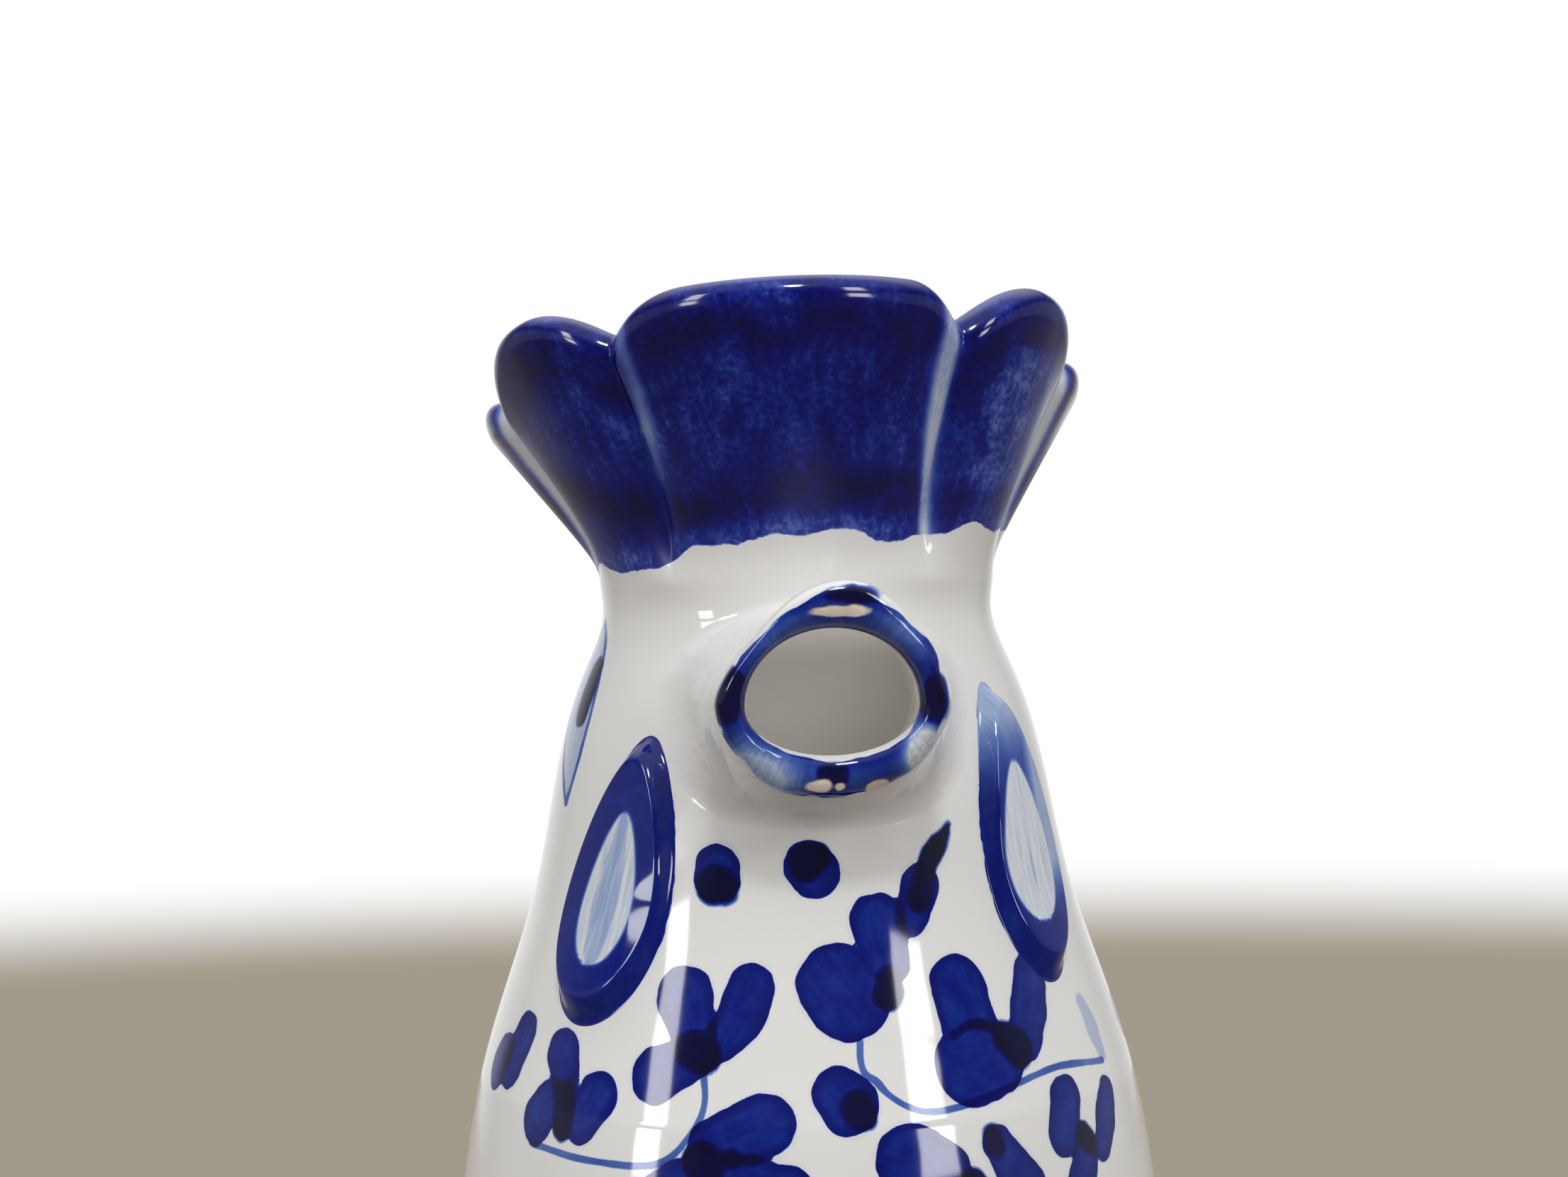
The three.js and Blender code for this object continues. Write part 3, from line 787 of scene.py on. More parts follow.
def comb_pools_and_reflections(angle, height, lip_height, edge_height):
    """Pooled paint in a low band and under the lips, less at the lower edge, and painted reflection and
    sheen.
    """
    low_band = hump(height - COMB_POOL_HEIGHT - 1.2 * np.sin(4 * angle + 1.0), 2.4)
    # Darker under the lips: partly pooled paint, partly a painted dark reflection of the room in the lip's
    # roll
    dark_reflection_under_lip = hump(height - lip_height + 1.0, 2.6)
    hem = hump(height - edge_height - 1.0, 1.5)
    # Lighter on the right lobe below its lip: a painted sheen, partly a paler wash
    sheen_on_right_lobe = smooth(0.66, 0.86, angle) * smooth(1.75, 1.4, angle)
    sheen_on_right_lobe = sheen_on_right_lobe * smooth(lip_height + 2.0, lip_height - 4.0, height)
    return 3.2 * low_band + 2.4 * dark_reflection_under_lip - 1.6 * hem - 1.9 * sheen_on_right_lobe


def make_comb(material):
    angle = turns(COMB_COLUMNS) - math.pi
    crest = comb_crest(angle)
    rearward = (1 - np.cos(angle)) / 2
    rear_fall = COMB_REAR_DROP * smooth(COMB_REAR_START, 1.0, rearward)
    fall = rear_fall + notch_drop(angle) + LOBE_CROWN * (1 - crest)
    tilt = math.radians(COMB_LIP_TILT)
    top = SEAM_HEIGHT + COMB_HEIGHT - fall + COMB_SIDE_SLOPE * COMB_RIM_RADIUS * np.sin(angle)
    lip_height = top - COMB_LIP_ROUND * math.cos(tilt)
    tuck = COMB_SIDE_TUCK * (1 - np.cos(3 * angle)) / 2
    spread = COMB_RIM_RADIUS + COMB_REAR_FLARE * rearward - tuck - SEAM_RADIUS
    seam_slope = float(pot_slope(SEAM_HEIGHT - 0.1))
    bend_start = COMB_BEND_START * (1 - rearward)

    def bent(share):
        """How far out the flank is: it leaves the neck upright and soon turns outwards."""
        rise = np.logaddexp(0, (share - bend_start) / COMB_BEND) - np.logaddexp(0, -bend_start / COMB_BEND)
        return COMB_BEND * rise

    flank_slope = spread / (bent(1.0) * (lip_height - SEAM_HEIGHT))
    start_slope = flank_slope / (1 + np.exp(bend_start / COMB_BEND))

    def outer_radius(share):
        rise = share * (lip_height - SEAM_HEIGHT)
        leave = (seam_slope - start_slope) * rise * np.exp(-rise / COMB_SEAM_EASE)
        flank = spread * bent(share) / bent(1.0) + leave
        fluting = (1 + FLUTE_EASE) * share**2 / (share**2 + FLUTE_EASE)
        settle = wobble(angle, SEAM_HEIGHT) * (1 - smooth(0.0, 0.25, share))
        return SEAM_RADIUS + flank - FLUTE_DEPTH * (1 - crest) * fluting + settle

    def flank_height(share):
        return SEAM_HEIGHT + share * (lip_height - SEAM_HEIGHT)

    rows = [(outer_radius(share), flank_height(share)) for share in np.linspace(0, 1, COMB_FLANK_ROWS)]
    rim = rows[-1][0]
    for turn in np.linspace(0, math.pi, COMB_LIP_ROWS)[1:]:
        over = COMB_LIP_ROUND * math.sin(turn)
        radius = rim - COMB_LIP_WIDTH / 2 * (1 - math.cos(turn)) + over * math.sin(tilt)
        rows.append((radius, lip_height + over * math.cos(tilt)))
    inner_seam = SEAM_RADIUS - WALL * math.sqrt(1 + seam_slope**2)
    for share in np.linspace(1, 0, COMB_LINING_ROWS)[1:]:
        radius = inner_seam + (rim - COMB_LIP_WIDTH - inner_seam) * share**COMB_LINING_POWER
        rows.append((radius, flank_height(share)))

    radius, height = (np.stack(column) for column in zip(*rows))
    share = (height - SEAM_HEIGHT) / COMB_HEIGHT
    eased = share**2 * (1 + COMB_LEAN_EASE) / (share + COMB_LEAN_EASE)
    lean = vectors(-COMB_SIDE_LEAN * eased, COMB_SET_BACK * eased, 0.0)
    mesh = Mesh(polar(angle, radius, height) + lean, joined=True)
    mesh.fix_normals(mesh.index[0], on_skin(angle, SEAM_HEIGHT)[1])

    outer = (np.arange(len(rows)) < COMB_FLANK_ROWS + COMB_LIP_ROWS / 2)[:, None]
    inside_edge = top - COMB_INSIDE_REACH + waves(angle, *COMB_INSIDE_WAVES)
    lower_edge = np.where(outer, paint_edge_height(angle), inside_edge)
    channels = {
        "coat": (lower_edge - height).ravel(),
        # thin: paint the brush missed, and painted light: a reflection on the front lobe's sides, light in
        # shaded grooves
        "thin": (bare_and_lit_grooves(angle, radius, height) * outer).ravel(),
        # deep: pooled paint, with a painted dark reflection under the lips and a painted sheen on the right
        # lobe
        "deep": comb_pools_and_reflections(angle, height, lip_height, lower_edge).ravel(),
        "grain": vectors(height, angle * 30.0, 0.0).reshape(-1, 3),
        "inside": np.broadcast_to(~outer, height.shape).ravel().astype(float),
    }
    mesh.make("glazed_comb", "comb_collar", material, channels)


def blend_rows(start, start_pull, end, end_pull, count):
    """Rows of points on smooth curves from one ring to another, leaving and arriving along the pulls."""
    rows = []
    for t in np.linspace(0, 1, count):
        leaving = start * (1 - t) ** 2 * (1 + 2 * t) + start_pull * t * (1 - t) ** 2
        rows.append(leaving + end * t**2 * (3 - 2 * t) - end_pull * t**2 * (1 - t))
    return rows


def root_ring(angle, height, middle):
    """Points of a root on the skin, their normals, and the ways along the skin to the root's middle."""
    point, normal = on_skin(angle, height, -0.01)
    inward = middle - point
    inward -= normal * np.sum(inward * normal, axis=-1, keepdims=True)
    return point, normal, unit(inward)


def make_beak(material):
    turn = turns(BEAK_COLUMNS)
    rake = math.tan(math.radians(BEAK_RAKE))
    corner = np.exp(-(np.sin(turn) ** 2) / BEAK_CORNER_SPAN)
    swell = 1 + (waves(turn, *BEAK_LIP_WAVES) + BEAK_CORNER_SWELL * corner) / BEAK_LIP_HALF_WIDTH
    lip = beak_outline(turn, BEAK_LIP_HALF_WIDTH, BEAK_LIP_RISE, BEAK_LIP_DROP, BEAK_LIP_PEAK, BEAK_LIP_SKEW)
    lip_x, lip_up = lip[0] * swell, lip[1] * swell
    hole_x, hole_up = hole_outline(turn)

    def front(x, up, back):
        return vectors(x, -(BEAK_REACH - back) - up * rake, BEAK_HEIGHT + up)

    root_x, root_up = beak_root_outline(turn)
    root_angle = front_of_skin(root_x, BEAK_HEIGHT + root_up)
    middle = on_skin(0.0, BEAK_HEIGHT)[0]
    root, root_normal, inward = root_ring(root_angle, BEAK_HEIGHT + root_up, middle)
    lip_back = front(lip_x, lip_up, BEAK_LIP_ROUND)
    length = np.linalg.norm(lip_back - root, axis=-1, keepdims=True)
    forward = unit(vectors(BEAK_LIP_SPREAD * np.cos(turn), -1.0, BEAK_LIP_SPREAD * np.sin(turn)))
    rows = blend_rows(root, inward * length * BEAK_ROOT_PULL, lip_back, forward * length, BEAK_FLANK_ROWS)
    lip_turns = np.linspace(0, math.pi, BEAK_LIP_ROWS)[1:]
    over_lip = (1 - np.cos(lip_turns)) / 2
    for lip_turn, share in zip(lip_turns, over_lip):
        x = lip_x + (hole_x - lip_x) * share
        up = lip_up + (hole_up - lip_up) * share
        rows.append(front(x, up, BEAK_LIP_ROUND * (1 - math.sin(lip_turn) ** BEAK_LIP_FULLNESS)))
    end_x, end_up = hole_outline(turn, BEAK_BORE_FLARE)
    end_angle = front_of_skin(end_x, BEAK_HEIGHT + end_up)
    bore_end = on_skin(end_angle, BEAK_HEIGHT + end_up, -BEAK_SUNK)[0]
    bore_start = rows[-1]
    rows += [bore_start + (bore_end - bore_start) * share for share in np.linspace(0, 1, BEAK_BORE_ROWS)[1:]]
    rows.append(root - BEAK_SUNK * root_normal + BEAK_ROOT_INSET * inward)
    points = np.stack(rows)
    mesh = Mesh(points, joined=True)
    mesh.fix_normals(mesh.index[0], root_normal)

    # Paint on the lip: how far across it each row is, from 0 outside to 1 at the hole
    width = np.hypot(lip_x - hole_x, lip_up - hole_up)
    flank = np.linspace(-4.0, 0.0, BEAK_FLANK_ROWS)
    bore = np.linspace(1.0, 5.0, BEAK_BORE_ROWS + 1)[1:]
    across = np.concatenate([flank, over_lip, bore])
    inset = across[:, None] * width
    above = np.clip(np.sin(turn), 0, 1)
    below = np.clip(-1.6 * np.sin(turn), 0, 1)
    right_corner = smooth(0.82, 1.0, np.cos(turn))
    outer_edge = 0.1 + 0.95 * above**3 + 0.9 * right_corner + waves(turn, (0.12, 7, 0.0), (0.1, 17, 0.0))
    # Along the bottom of the hole the paint stops short, leaving a white line of glaze: partly a painted
    # highlight on that edge
    inner_edge = width + 0.25 + 0.25 * np.sin(2 * turn + 1.0) + 0.5 * above - 0.55 * below
    coat = np.maximum(outer_edge - inset, inset - inner_edge)
    behind = np.where(np.abs(across - 0.5) > 0.75, FAR, 0.0)[:, None]

    def away(x, up, half_x, half_up):
        """How many half sizes each point is away from a place on the lip."""
        return np.hypot((points[..., 0] - x) / half_x, (points[..., 2] - BEAK_HEIGHT - up) / half_up)

    def blots(marks):
        """Distance to the edge of the nearest of some round marks on the lip."""
        return np.minimum.reduce([(away(*mark) - 1) * min(mark[2:]) + behind for mark in marks])

    def patches(marks):
        """The sum of soft patches on the lip, each with its strength first."""
        return sum(strength * smooth(1.0, 0.0, away(*place)) for strength, *place in marks)

    # A dark band along the top inner edge of the hole: painted shade under the overhanging lip
    painted_shade_at_hole_top = np.maximum(np.abs(inset - width - 0.3) - 0.4, 4.0 * (0.35 - np.sin(turn)))
    outward = 1 - np.clip(across, 0, 1)[:, None]
    thin = np.minimum(patches(BEAK_THIN) * (0.45 + 0.8 * outward), 0.88) + patches(BEAK_THINNEST)
    channels = {
        "coat": coat.ravel(),
        # second: dark blots of paint, and the painted shade along the top of the hole
        "second": np.minimum(blots(BEAK_BLOTS), painted_shade_at_hole_top).ravel(),
        "clay": blots(BEAK_CLAY).ravel(),
        "thin": np.clip(thin, 0, 1).ravel(),
        "grain": vectors(inset, turn * 11.0, 0.0).reshape(-1, 3),
        "inside": np.repeat(smooth(1.0, 1.4, across), BEAK_COLUMNS),
    }
    mesh.make("glazed_beak", "beak_spout", material, channels)


def make_wattle(name, node, wattle, pane, material):
    turn = 2 * math.pi - turns(WATTLE_COLUMNS)
    middle_angle, middle, length, width, lean = wattle
    pane_shift, pane_half, pale = pane
    outwards = math.copysign(1, middle_angle)
    sunk = wattle_places(wattle, turn, WATTLE_SUNK_SCALE)
    rows = [on_skin(*sunk, -WATTLE_SUNK)[0]]
    places = [sunk]
    for share in np.linspace(1, 0.02, WATTLE_ROWS):
        angle, height = wattle_places(wattle, turn, share)
        beakwards = share * width / 2 * teardrop(turn) * -outwards
        to_beak = np.logaddexp(0, 3 * (beakwards - WATTLE_FACET_START)) / 3
        lower = smooth(0.07, -0.09, (height - middle) / length)
        climb = height - middle + 0.35 * length
        slope = WATTLE_FACET_SLOPE + WATTLE_FACET_TILT * climb - WATTLE_FACET_HOLLOW * to_beak
        lift = (WATTLE_RELIEF - slope * to_beak * lower) * smooth(1.0, WATTLE_EDGE, share)
        rows.append(on_skin(angle, height, lift - 0.02 * (share == 1))[0])
        places.append((angle, height))
    mesh = Mesh(np.stack(rows))
    mesh.fix_normals(mesh.index[1], on_skin(*places[1])[1])

    angle, height = (np.stack(column) for column in zip(*places))
    rise = (height - middle) / length
    across = (angle - math.radians(middle_angle)) * pot_radius(height)
    across = across + outwards * (lean * (height - middle) - pane_shift)
    below = (-PANE_DROP - rise) / PANE_HALF_LENGTH
    half = pane_half * width * teardrop(np.arccos(-np.clip(below, -1, 1)))
    window = np.maximum(np.abs(across) - half, (np.abs(below) - 1) * PANE_HALF_LENGTH * length)
    streak = np.abs(across) - 0.45 * half
    # Paler at the upper end and on the outer side by pale: thin paint, and a painted reflection of the
    # bright room
    upper = smooth(0.05, 0.4, rise)
    outer = smooth(0.0, 0.3, outwards * across / width) * smooth(-0.35, -0.1, rise)
    thin = np.maximum(smooth(0.25, -0.35, window), pale * np.maximum(upper, outer))

    def channel(values, under=-FAR):
        """The values of the rows, one for the pole under the wattle, and a mean for the pole on it."""
        shape = (-1,) + values.shape[2:]
        ends = np.stack([np.full(values.shape[2:], under), values[-1].mean(axis=0)])
        return np.concatenate([values.reshape(shape), ends])

    channels = {
        "coat": np.full(len(mesh.points), -FAR),
        "thin": np.clip(channel(thin), 0, 1),
        "wash": np.maximum(channel(streak), channel(window)) + 2.0 * pale,
        "grain": channel(vectors(height, across, 0.0), 0.0),
    }
    mesh.make(name, node, material, channels)


def make_handle(material):
    turn = turns(HANDLE_COLUMNS)
    sideways = np.array([1.0, 0.0, 0.0])

    def end_point(height):
        return np.array([0.0, float(pot_radius(height)) - WALL / 2, height])

    a, d = end_point(HANDLE_TOP_HEIGHT), end_point(HANDLE_FOOT_HEIGHT)
    b, c = a + [0.0, HANDLE_REACH, HANDLE_ARCH], d + [0.0, HANDLE_LOW_REACH, HANDLE_LOW_ARCH]

    def point(t):
        return a * (1 - t) ** 3 + 3 * b * t * (1 - t) ** 2 + 3 * c * t**2 * (1 - t) + d * t**3

    def along(t):
        return unit(3 * ((b - a) * (1 - t) ** 2 + 2 * (c - b) * t * (1 - t) + (d - c) * t**2))

    def section(t):
        side = HANDLE_WIDTH / 2 * np.sign(np.cos(turn)) * np.abs(np.cos(turn)) ** HANDLE_SIDE_POWER
        thick = np.sign(np.sin(turn)) * np.abs(np.sin(turn)) ** HANDLE_THICKNESS_POWER
        thick = HANDLE_THICKNESS / 2 * thick
        return point(t) + side[:, None] * sideways + thick[:, None] * np.cross(along(t), sideways)

    def root(height, t):
        """The ring of a root on the skin, which goes round the same way as the section at t."""
        spread = math.copysign(1, np.cross(along(t), sideways)[2])
        side = HANDLE_ROOT_WIDTH / 2 * np.cos(turn)
        rise = spread * HANDLE_ROOT_HEIGHT / 2 * np.sin(turn)
        angle = math.pi - np.arcsin(side / pot_radius(height + rise))
        return root_ring(angle, height + rise, polar(math.pi, float(pot_radius(height)), height))

    top_root, top_normal, top_inward = root(HANDLE_TOP_ROOT_HEIGHT, HANDLE_START)
    foot_root, foot_normal, foot_inward = root(HANDLE_FOOT_ROOT_HEIGHT, HANDLE_FINISH)
    first, last = section(HANDLE_START), section(HANDLE_FINISH)
    reach = np.linalg.norm(first - top_root, axis=-1, keepdims=True)
    rows = [top_root - HANDLE_ROOT_SUNK * top_normal]
    rows += blend_rows(top_root, top_inward * reach, first, along(HANDLE_START) * reach, HANDLE_ROOT_ROWS)
    rows += [section(t) for t in np.linspace(HANDLE_START, HANDLE_FINISH, HANDLE_STRAP_ROWS)[1:-1]]
    reach = np.linalg.norm(last - foot_root, axis=-1, keepdims=True)
    rows += blend_rows(last, along(HANDLE_FINISH) * reach, foot_root, -foot_inward * reach, HANDLE_ROOT_ROWS)
    rows.append(foot_root - HANDLE_ROOT_SUNK * foot_normal)
    mesh = Mesh(np.stack(rows))
    mesh.fix_normals(mesh.index[1], top_normal)
    mesh.fix_normals(mesh.index[-2], foot_normal)
    mesh.make("glazed_handle", "strap_handle", material, {})


class Value:
    """The output of a node: a number, a vector or a colour. Numbers can be added and multiplied."""

    def __init__(self, nodes, socket):
        self.nodes = nodes
        self.socket = socket

    def __add__(self, other):
        return self.nodes.math("ADD", self, other)

    def __sub__(self, other):
        return self.nodes.math("SUBTRACT", self, other)

    def __rsub__(self, other):
        return self.nodes.math("SUBTRACT", other, self)

    def __mul__(self, other):
        return self.nodes.math("MULTIPLY", self, other)

    __radd__ = __add__
    __rmul__ = __mul__


class Nodes:
    """Short names for the nodes of one tree. An input may be a constant or a Value of another node."""

    def __init__(self, owner):
        owner.use_nodes = True
        self.tree = owner.node_tree
        self.tree.nodes.clear()

    def node(self, kind, inputs, **settings):
        made = self.tree.nodes.new(kind)
        for key, setting in settings.items():
            setattr(made, key, setting)
        for key, given in inputs.items():
            if isinstance(given, Value):
                self.tree.links.new(given.socket, made.inputs[key])
            else:
                made.inputs[key].default_value = given
        return made

    def value(self, kind, output, inputs=None, **settings):
        return Value(self, self.node(kind, inputs or {}, **settings).outputs[output])

    def math(self, operation, *values):
        return self.value("ShaderNodeMath", 0, dict(enumerate(values)), operation=operation)

    def stretched(self, vector, factors):
        return self.value("ShaderNodeVectorMath", 0, {0: vector, 1: factors}, operation="MULTIPLY")

    def length(self, vector):
        return self.value("ShaderNodeVectorMath", "Value", {0: vector}, operation="LENGTH")

    def parts(self, vector):
        made = self.node("ShaderNodeSeparateXYZ", {0: vector})
        return [Value(self, output) for output in made.outputs]

    def span(self, value, start, end, low=0.0, high=1.0, kind="SMOOTHSTEP"):
        """A step from low at start to high at end, which is smooth unless its kind is LINEAR."""
        inputs = {"Value": value, "From Min": start, "From Max": end, "To Min": low, "To Max": high}
        return self.value("ShaderNodeMapRange", "Result", inputs, interpolation_type=kind)

    def blend(self, share, first, second):
        return first + share * (second - first)

    def blend_colours(self, share, first, second):
        """Between two colours, which are inputs 6 and 7 of the node, with the result as output 2."""
        return self.value("ShaderNodeMix", 2, {"Factor": share, 6: first, 7: second}, data_type="RGBA")


class Shader(Nodes):
    """The nodes of one material, with places in millimetres."""

    def __init__(self, name):
        self.material = bpy.data.materials.new(name)
        super().__init__(self.material)
        self.place = self.stretched(self.value("ShaderNodeTexCoord", "Object"), 3 * (1 / MM,))

    def attribute(self, name, output="Fac"):
        return self.value("ShaderNodeAttribute", output, attribute_name=name)

    def height(self):
        return self.parts(self.place)[2]

    def noise(self, size, detail=2.0, distortion=0.0, where=None):
        """Noise about 0, between -0.5 and 0.5, with features of a size in millimetres."""
        inputs = {"Scale": 1 / size, "Detail": detail, "Distortion": distortion}
        inputs["Vector"] = where or self.place
        return self.value("ShaderNodeTexNoise", "Fac", inputs) - 0.5

    def brushed(self, across=1.6, along=0.16):
        """Streaks that follow the brush."""
        where = self.stretched(self.attribute("grain", "Vector"), (along, across, 1.0))
        return self.noise(1.0, 4.0, 0.4, where)

    def mark(self, channel, edge, softness):
        """The share of a brush mark's cover, with an uneven edge."""
        return self.span(self.attribute(channel) + edge, softness, -softness)

    def ramp(self, share, stops):
        made = self.node("ShaderNodeValToRGB", {"Fac": share})
        elements = made.color_ramp.elements
        while len(elements) < len(stops):
            elements.new(1.0)
        for element, (place, colour) in zip(elements, stops):
            element.position = place
            element.color = colour
        return Value(self, made.outputs["Color"])

    def finish(self, surface):
        self.node("ShaderNodeOutputMaterial", {"Surface": surface})
        return self.material


# Glaze and paint: the white ground, and how strongly cobalt takes each colour out of light
WHITE = (0.775, 0.765, 0.75)
# The inside's white is lighter and warmer than WHITE: painted light inside the jug, where little light
# reaches
LIT_INSIDE_WHITE = (0.96, 0.93, 0.88, 1.0)
COBALT_STRENGTH = (1.06, 0.76, 0.25)
COMB_COBALT_STRENGTH = (1.06, 0.83, 0.26)
DARKEST = 0.0022
DEEPEST = 15.0
RAMP_SHARES = (0, 0.02, 0.05, 0.09, 0.14, 0.2, 0.28, 0.38, 0.5, 0.7, 1)
# Bare clay, both tones lighter than the clay is: painted light for the beak's shaded lip; the second is
# darker at random
LIT_BARE_CLAY = (0.86, 0.76, 0.65, 1.0)
LIT_DARKER_CLAY = (0.76, 0.65, 0.54, 1.0)
GLAZE_ROUGHNESS = 0.07
COMB_ROUGHNESS = 0.11
LOW_COMB_ROUGHNESS = 0.36
LOW_COMB_HEIGHTS = (150.0, 140.0)
CLAY_ROUGHNESS = 0.75
GLAZE_INDEX = 1.47
DIMPLE_DEPTH = 0.1

# Depths of cobalt: full coats, thin places, a second coat, a line, a wash, and the least that there is
POT_DEPTH = 5.2
BEAK_DEPTH = 4.3
BEAK_THIN_DEPTH = 0.14
BEAK_MOTTLE = 1.6
WATTLE_DEPTH = 5.6
WATTLE_THIN_DEPTH = 0.1
SECOND_DEPTH = 7.5
LINE_DEPTH = 2.5
WASH_DEPTH = 0.62
THINNEST = 0.03
COMB_DEPTH = 5.6
COMB_THINNEST = 3.2
COMB_BARE_DEPTH = 0.2

# A ring that turning left on the shoulder, in heights and as the slope at its bottom
RING_TOP = 80.2
RING_BOTTOM = 72.4
RING_END = 1.0
RING_SLOPE = 0.12


def cobalt(depth, strengths):
    """Colour of the white ground under a depth of cobalt."""
    light = [max(white * math.exp(-strength * depth), DARKEST) for white, strength in zip(WHITE, strengths)]
    return (*light, 1.0)


def glaze(
    shader, depth, clay=None, ripple=0.03, form=0.0, roughness=GLAZE_ROUGHNESS, strengths=COBALT_STRENGTH
):
    """The clear glaze over a depth of cobalt, with bare clay where the glaze missed."""
    stops = [(share, cobalt(DEEPEST * share, strengths)) for share in RAMP_SHARES]
    colour = shader.ramp(shader.math("DIVIDE", depth, DEEPEST), stops)
    # Unpainted inner surfaces take the lighter inside white, as painted light
    lit_inside_share = shader.attribute("inside") * shader.span(depth, 0.5, 0.0)
    colour = shader.blend_colours(lit_inside_share, colour, LIT_INSIDE_WHITE)
    relief = shader.noise(7.0, 1.0) * ripple + form
    if clay is not None:
        shade = shader.span(shader.noise(1.1, 4.0), -0.25, 0.25)
        colour = shader.blend_colours(clay, colour, shader.blend_colours(shade, LIT_BARE_CLAY, LIT_DARKER_CLAY))
        roughness = shader.blend(clay, GLAZE_ROUGHNESS, CLAY_ROUGHNESS)
        relief += clay * (shader.noise(0.5, 3.0) * 0.06 - 0.05)
    normal = shader.value("ShaderNodeBump", "Normal", {"Distance": MM, "Height": relief})
    inputs = {"Base Color": colour, "IOR": GLAZE_INDEX, "Roughness": roughness, "Normal": normal}
    return shader.finish(shader.value("ShaderNodeBsdfPrincipled", "BSDF", inputs))


def painted_glaze(name, full, thin=None, layers=(), mottle=0.0, form=None):
    """Cobalt of a full depth in the coat, with second coats, lines, washes and thin places."""
    shader = Shader(name)
    edge = shader.noise(3.0, 1.5) * 0.85 + shader.noise(0.6) * 0.08
    streak = shader.brushed()
    blot = shader.noise(3.6, 4.0, 0.8)
    coat = shader.attribute("coat")
    body = full + streak * 1.5 + blot * 3.2 + shader.span(coat, -1.3, -0.1, 0.0, 1.4)
    if thin is not None:
        watery = thin + streak + shader.brushed(4.5, 0.12) * 1.1 + shader.noise(0.5, 5.0, 0.3) * mottle
        body = shader.blend(shader.attribute("thin"), body, shader.math("MAXIMUM", watery, THINNEST))
    halo = shader.span(coat, 0.6, 0.0, 0.0, 0.12)
    depth = shader.mark("coat", edge, 0.07) * body + halo
    if "second" in layers:
        depth += shader.mark("second", edge * 1.5, 0.4) * (SECOND_DEPTH + blot * 6.0)
    if "line" in layers:
        gap = shader.length(shader.attribute("line", "Vector")) + edge * 0.3
        depth += shader.span(gap, 0.45, 0.26) * (LINE_DEPTH + shader.noise(5.0) * 2.6)
    if "wash" in layers:
        depth += shader.mark("wash", edge, 0.3) * (WASH_DEPTH + streak * 1.2)
    clay = shader.mark("clay", edge, 0.12) if "clay" in layers else None
    return glaze(shader, depth, clay, form=form(shader) if form else 0.0)


def dimples(shader):
    """The uneven skin that fingers leave on the beak."""
    return shader.noise(2.2, 1.5) * DIMPLE_DEPTH


def turned_ring(shader):
    """A soft ring on the shoulder, which leans from its top to its bottom and ends in a short curve."""
    lean = shader.span(shader.height(), RING_TOP, RING_BOTTOM, kind="LINEAR")
    end = shader.span(shader.height(), RING_BOTTOM, RING_BOTTOM - RING_END, kind="LINEAR")
    upper = lean * lean * (RING_SLOPE * (RING_TOP - RING_BOTTOM) / 2)
    return upper + end * (2.0 - end) * (RING_SLOPE * RING_END / 2)


def comb_glaze():
    """Cobalt over the whole comb, laid on wet, so that it pools and clouds."""
    shader = Shader("cobalt_comb_glaze")
    coat = shader.mark("coat", shader.noise(2.6, 3.0) * 1.2 + shader.noise(0.5) * 0.15, 0.14)
    fleck = shader.noise(0.7, 6.0, 0.4)
    deep = shader.attribute("deep")
    # The pools carry painted light too: a painted dark reflection under the lips and a painted sheen on the
    # right lobe
    pools_and_reflections = deep * (1.0 + shader.noise(5.0, 3.0, 0.8) * 3.5)
    thinnest = COMB_THINNEST + shader.math("MINIMUM", deep, 0.0) * 0.6
    cloud = shader.noise(8.0, 5.0, 0.7)
    body = COMB_DEPTH + cloud * 9.0 + fleck * 7.0 + shader.brushed(0.8, 0.14) * 4.5
    body = shader.math("MAXIMUM", body + pools_and_reflections, thinnest)
    # Paler where the brush missed, and where that paleness is painted light on the front lobe's sides and in
    # grooves
    missed = shader.span(shader.attribute("thin") + fleck * 0.25, 0.0, 1.0)
    depth = coat * shader.blend(missed, body, COMB_BARE_DEPTH)
    low_paint = coat * shader.span(shader.height(), *LOW_COMB_HEIGHTS)
    roughness = shader.blend(low_paint, COMB_ROUGHNESS, LOW_COMB_ROUGHNESS)
    return glaze(shader, depth, ripple=0.12, roughness=roughness, strengths=COMB_COBALT_STRENGTH)


def plain_glaze():
    """White glaze with nothing painted on it but a few stray specks."""
    shader = Shader("white_handle_glaze")
    speck = shader.span(shader.noise(1.3, 1.0), 0.33, 0.4)
    return glaze(shader, shader.span(shader.noise(12.0, 3.0), 0.0, 0.3, 0.0, 0.05) + speck * 0.3)


# Camera: where the photograph was taken from
CAMERA_AZIMUTH = -4.9
CAMERA_DISTANCE = 300.0
CAMERA_HEIGHT = 127.6
CAMERA_YAW = 0.30
CAMERA_ROLL = 1.06
CAMERA_LENS = 58.6
SENSOR_WIDTH = 36.0

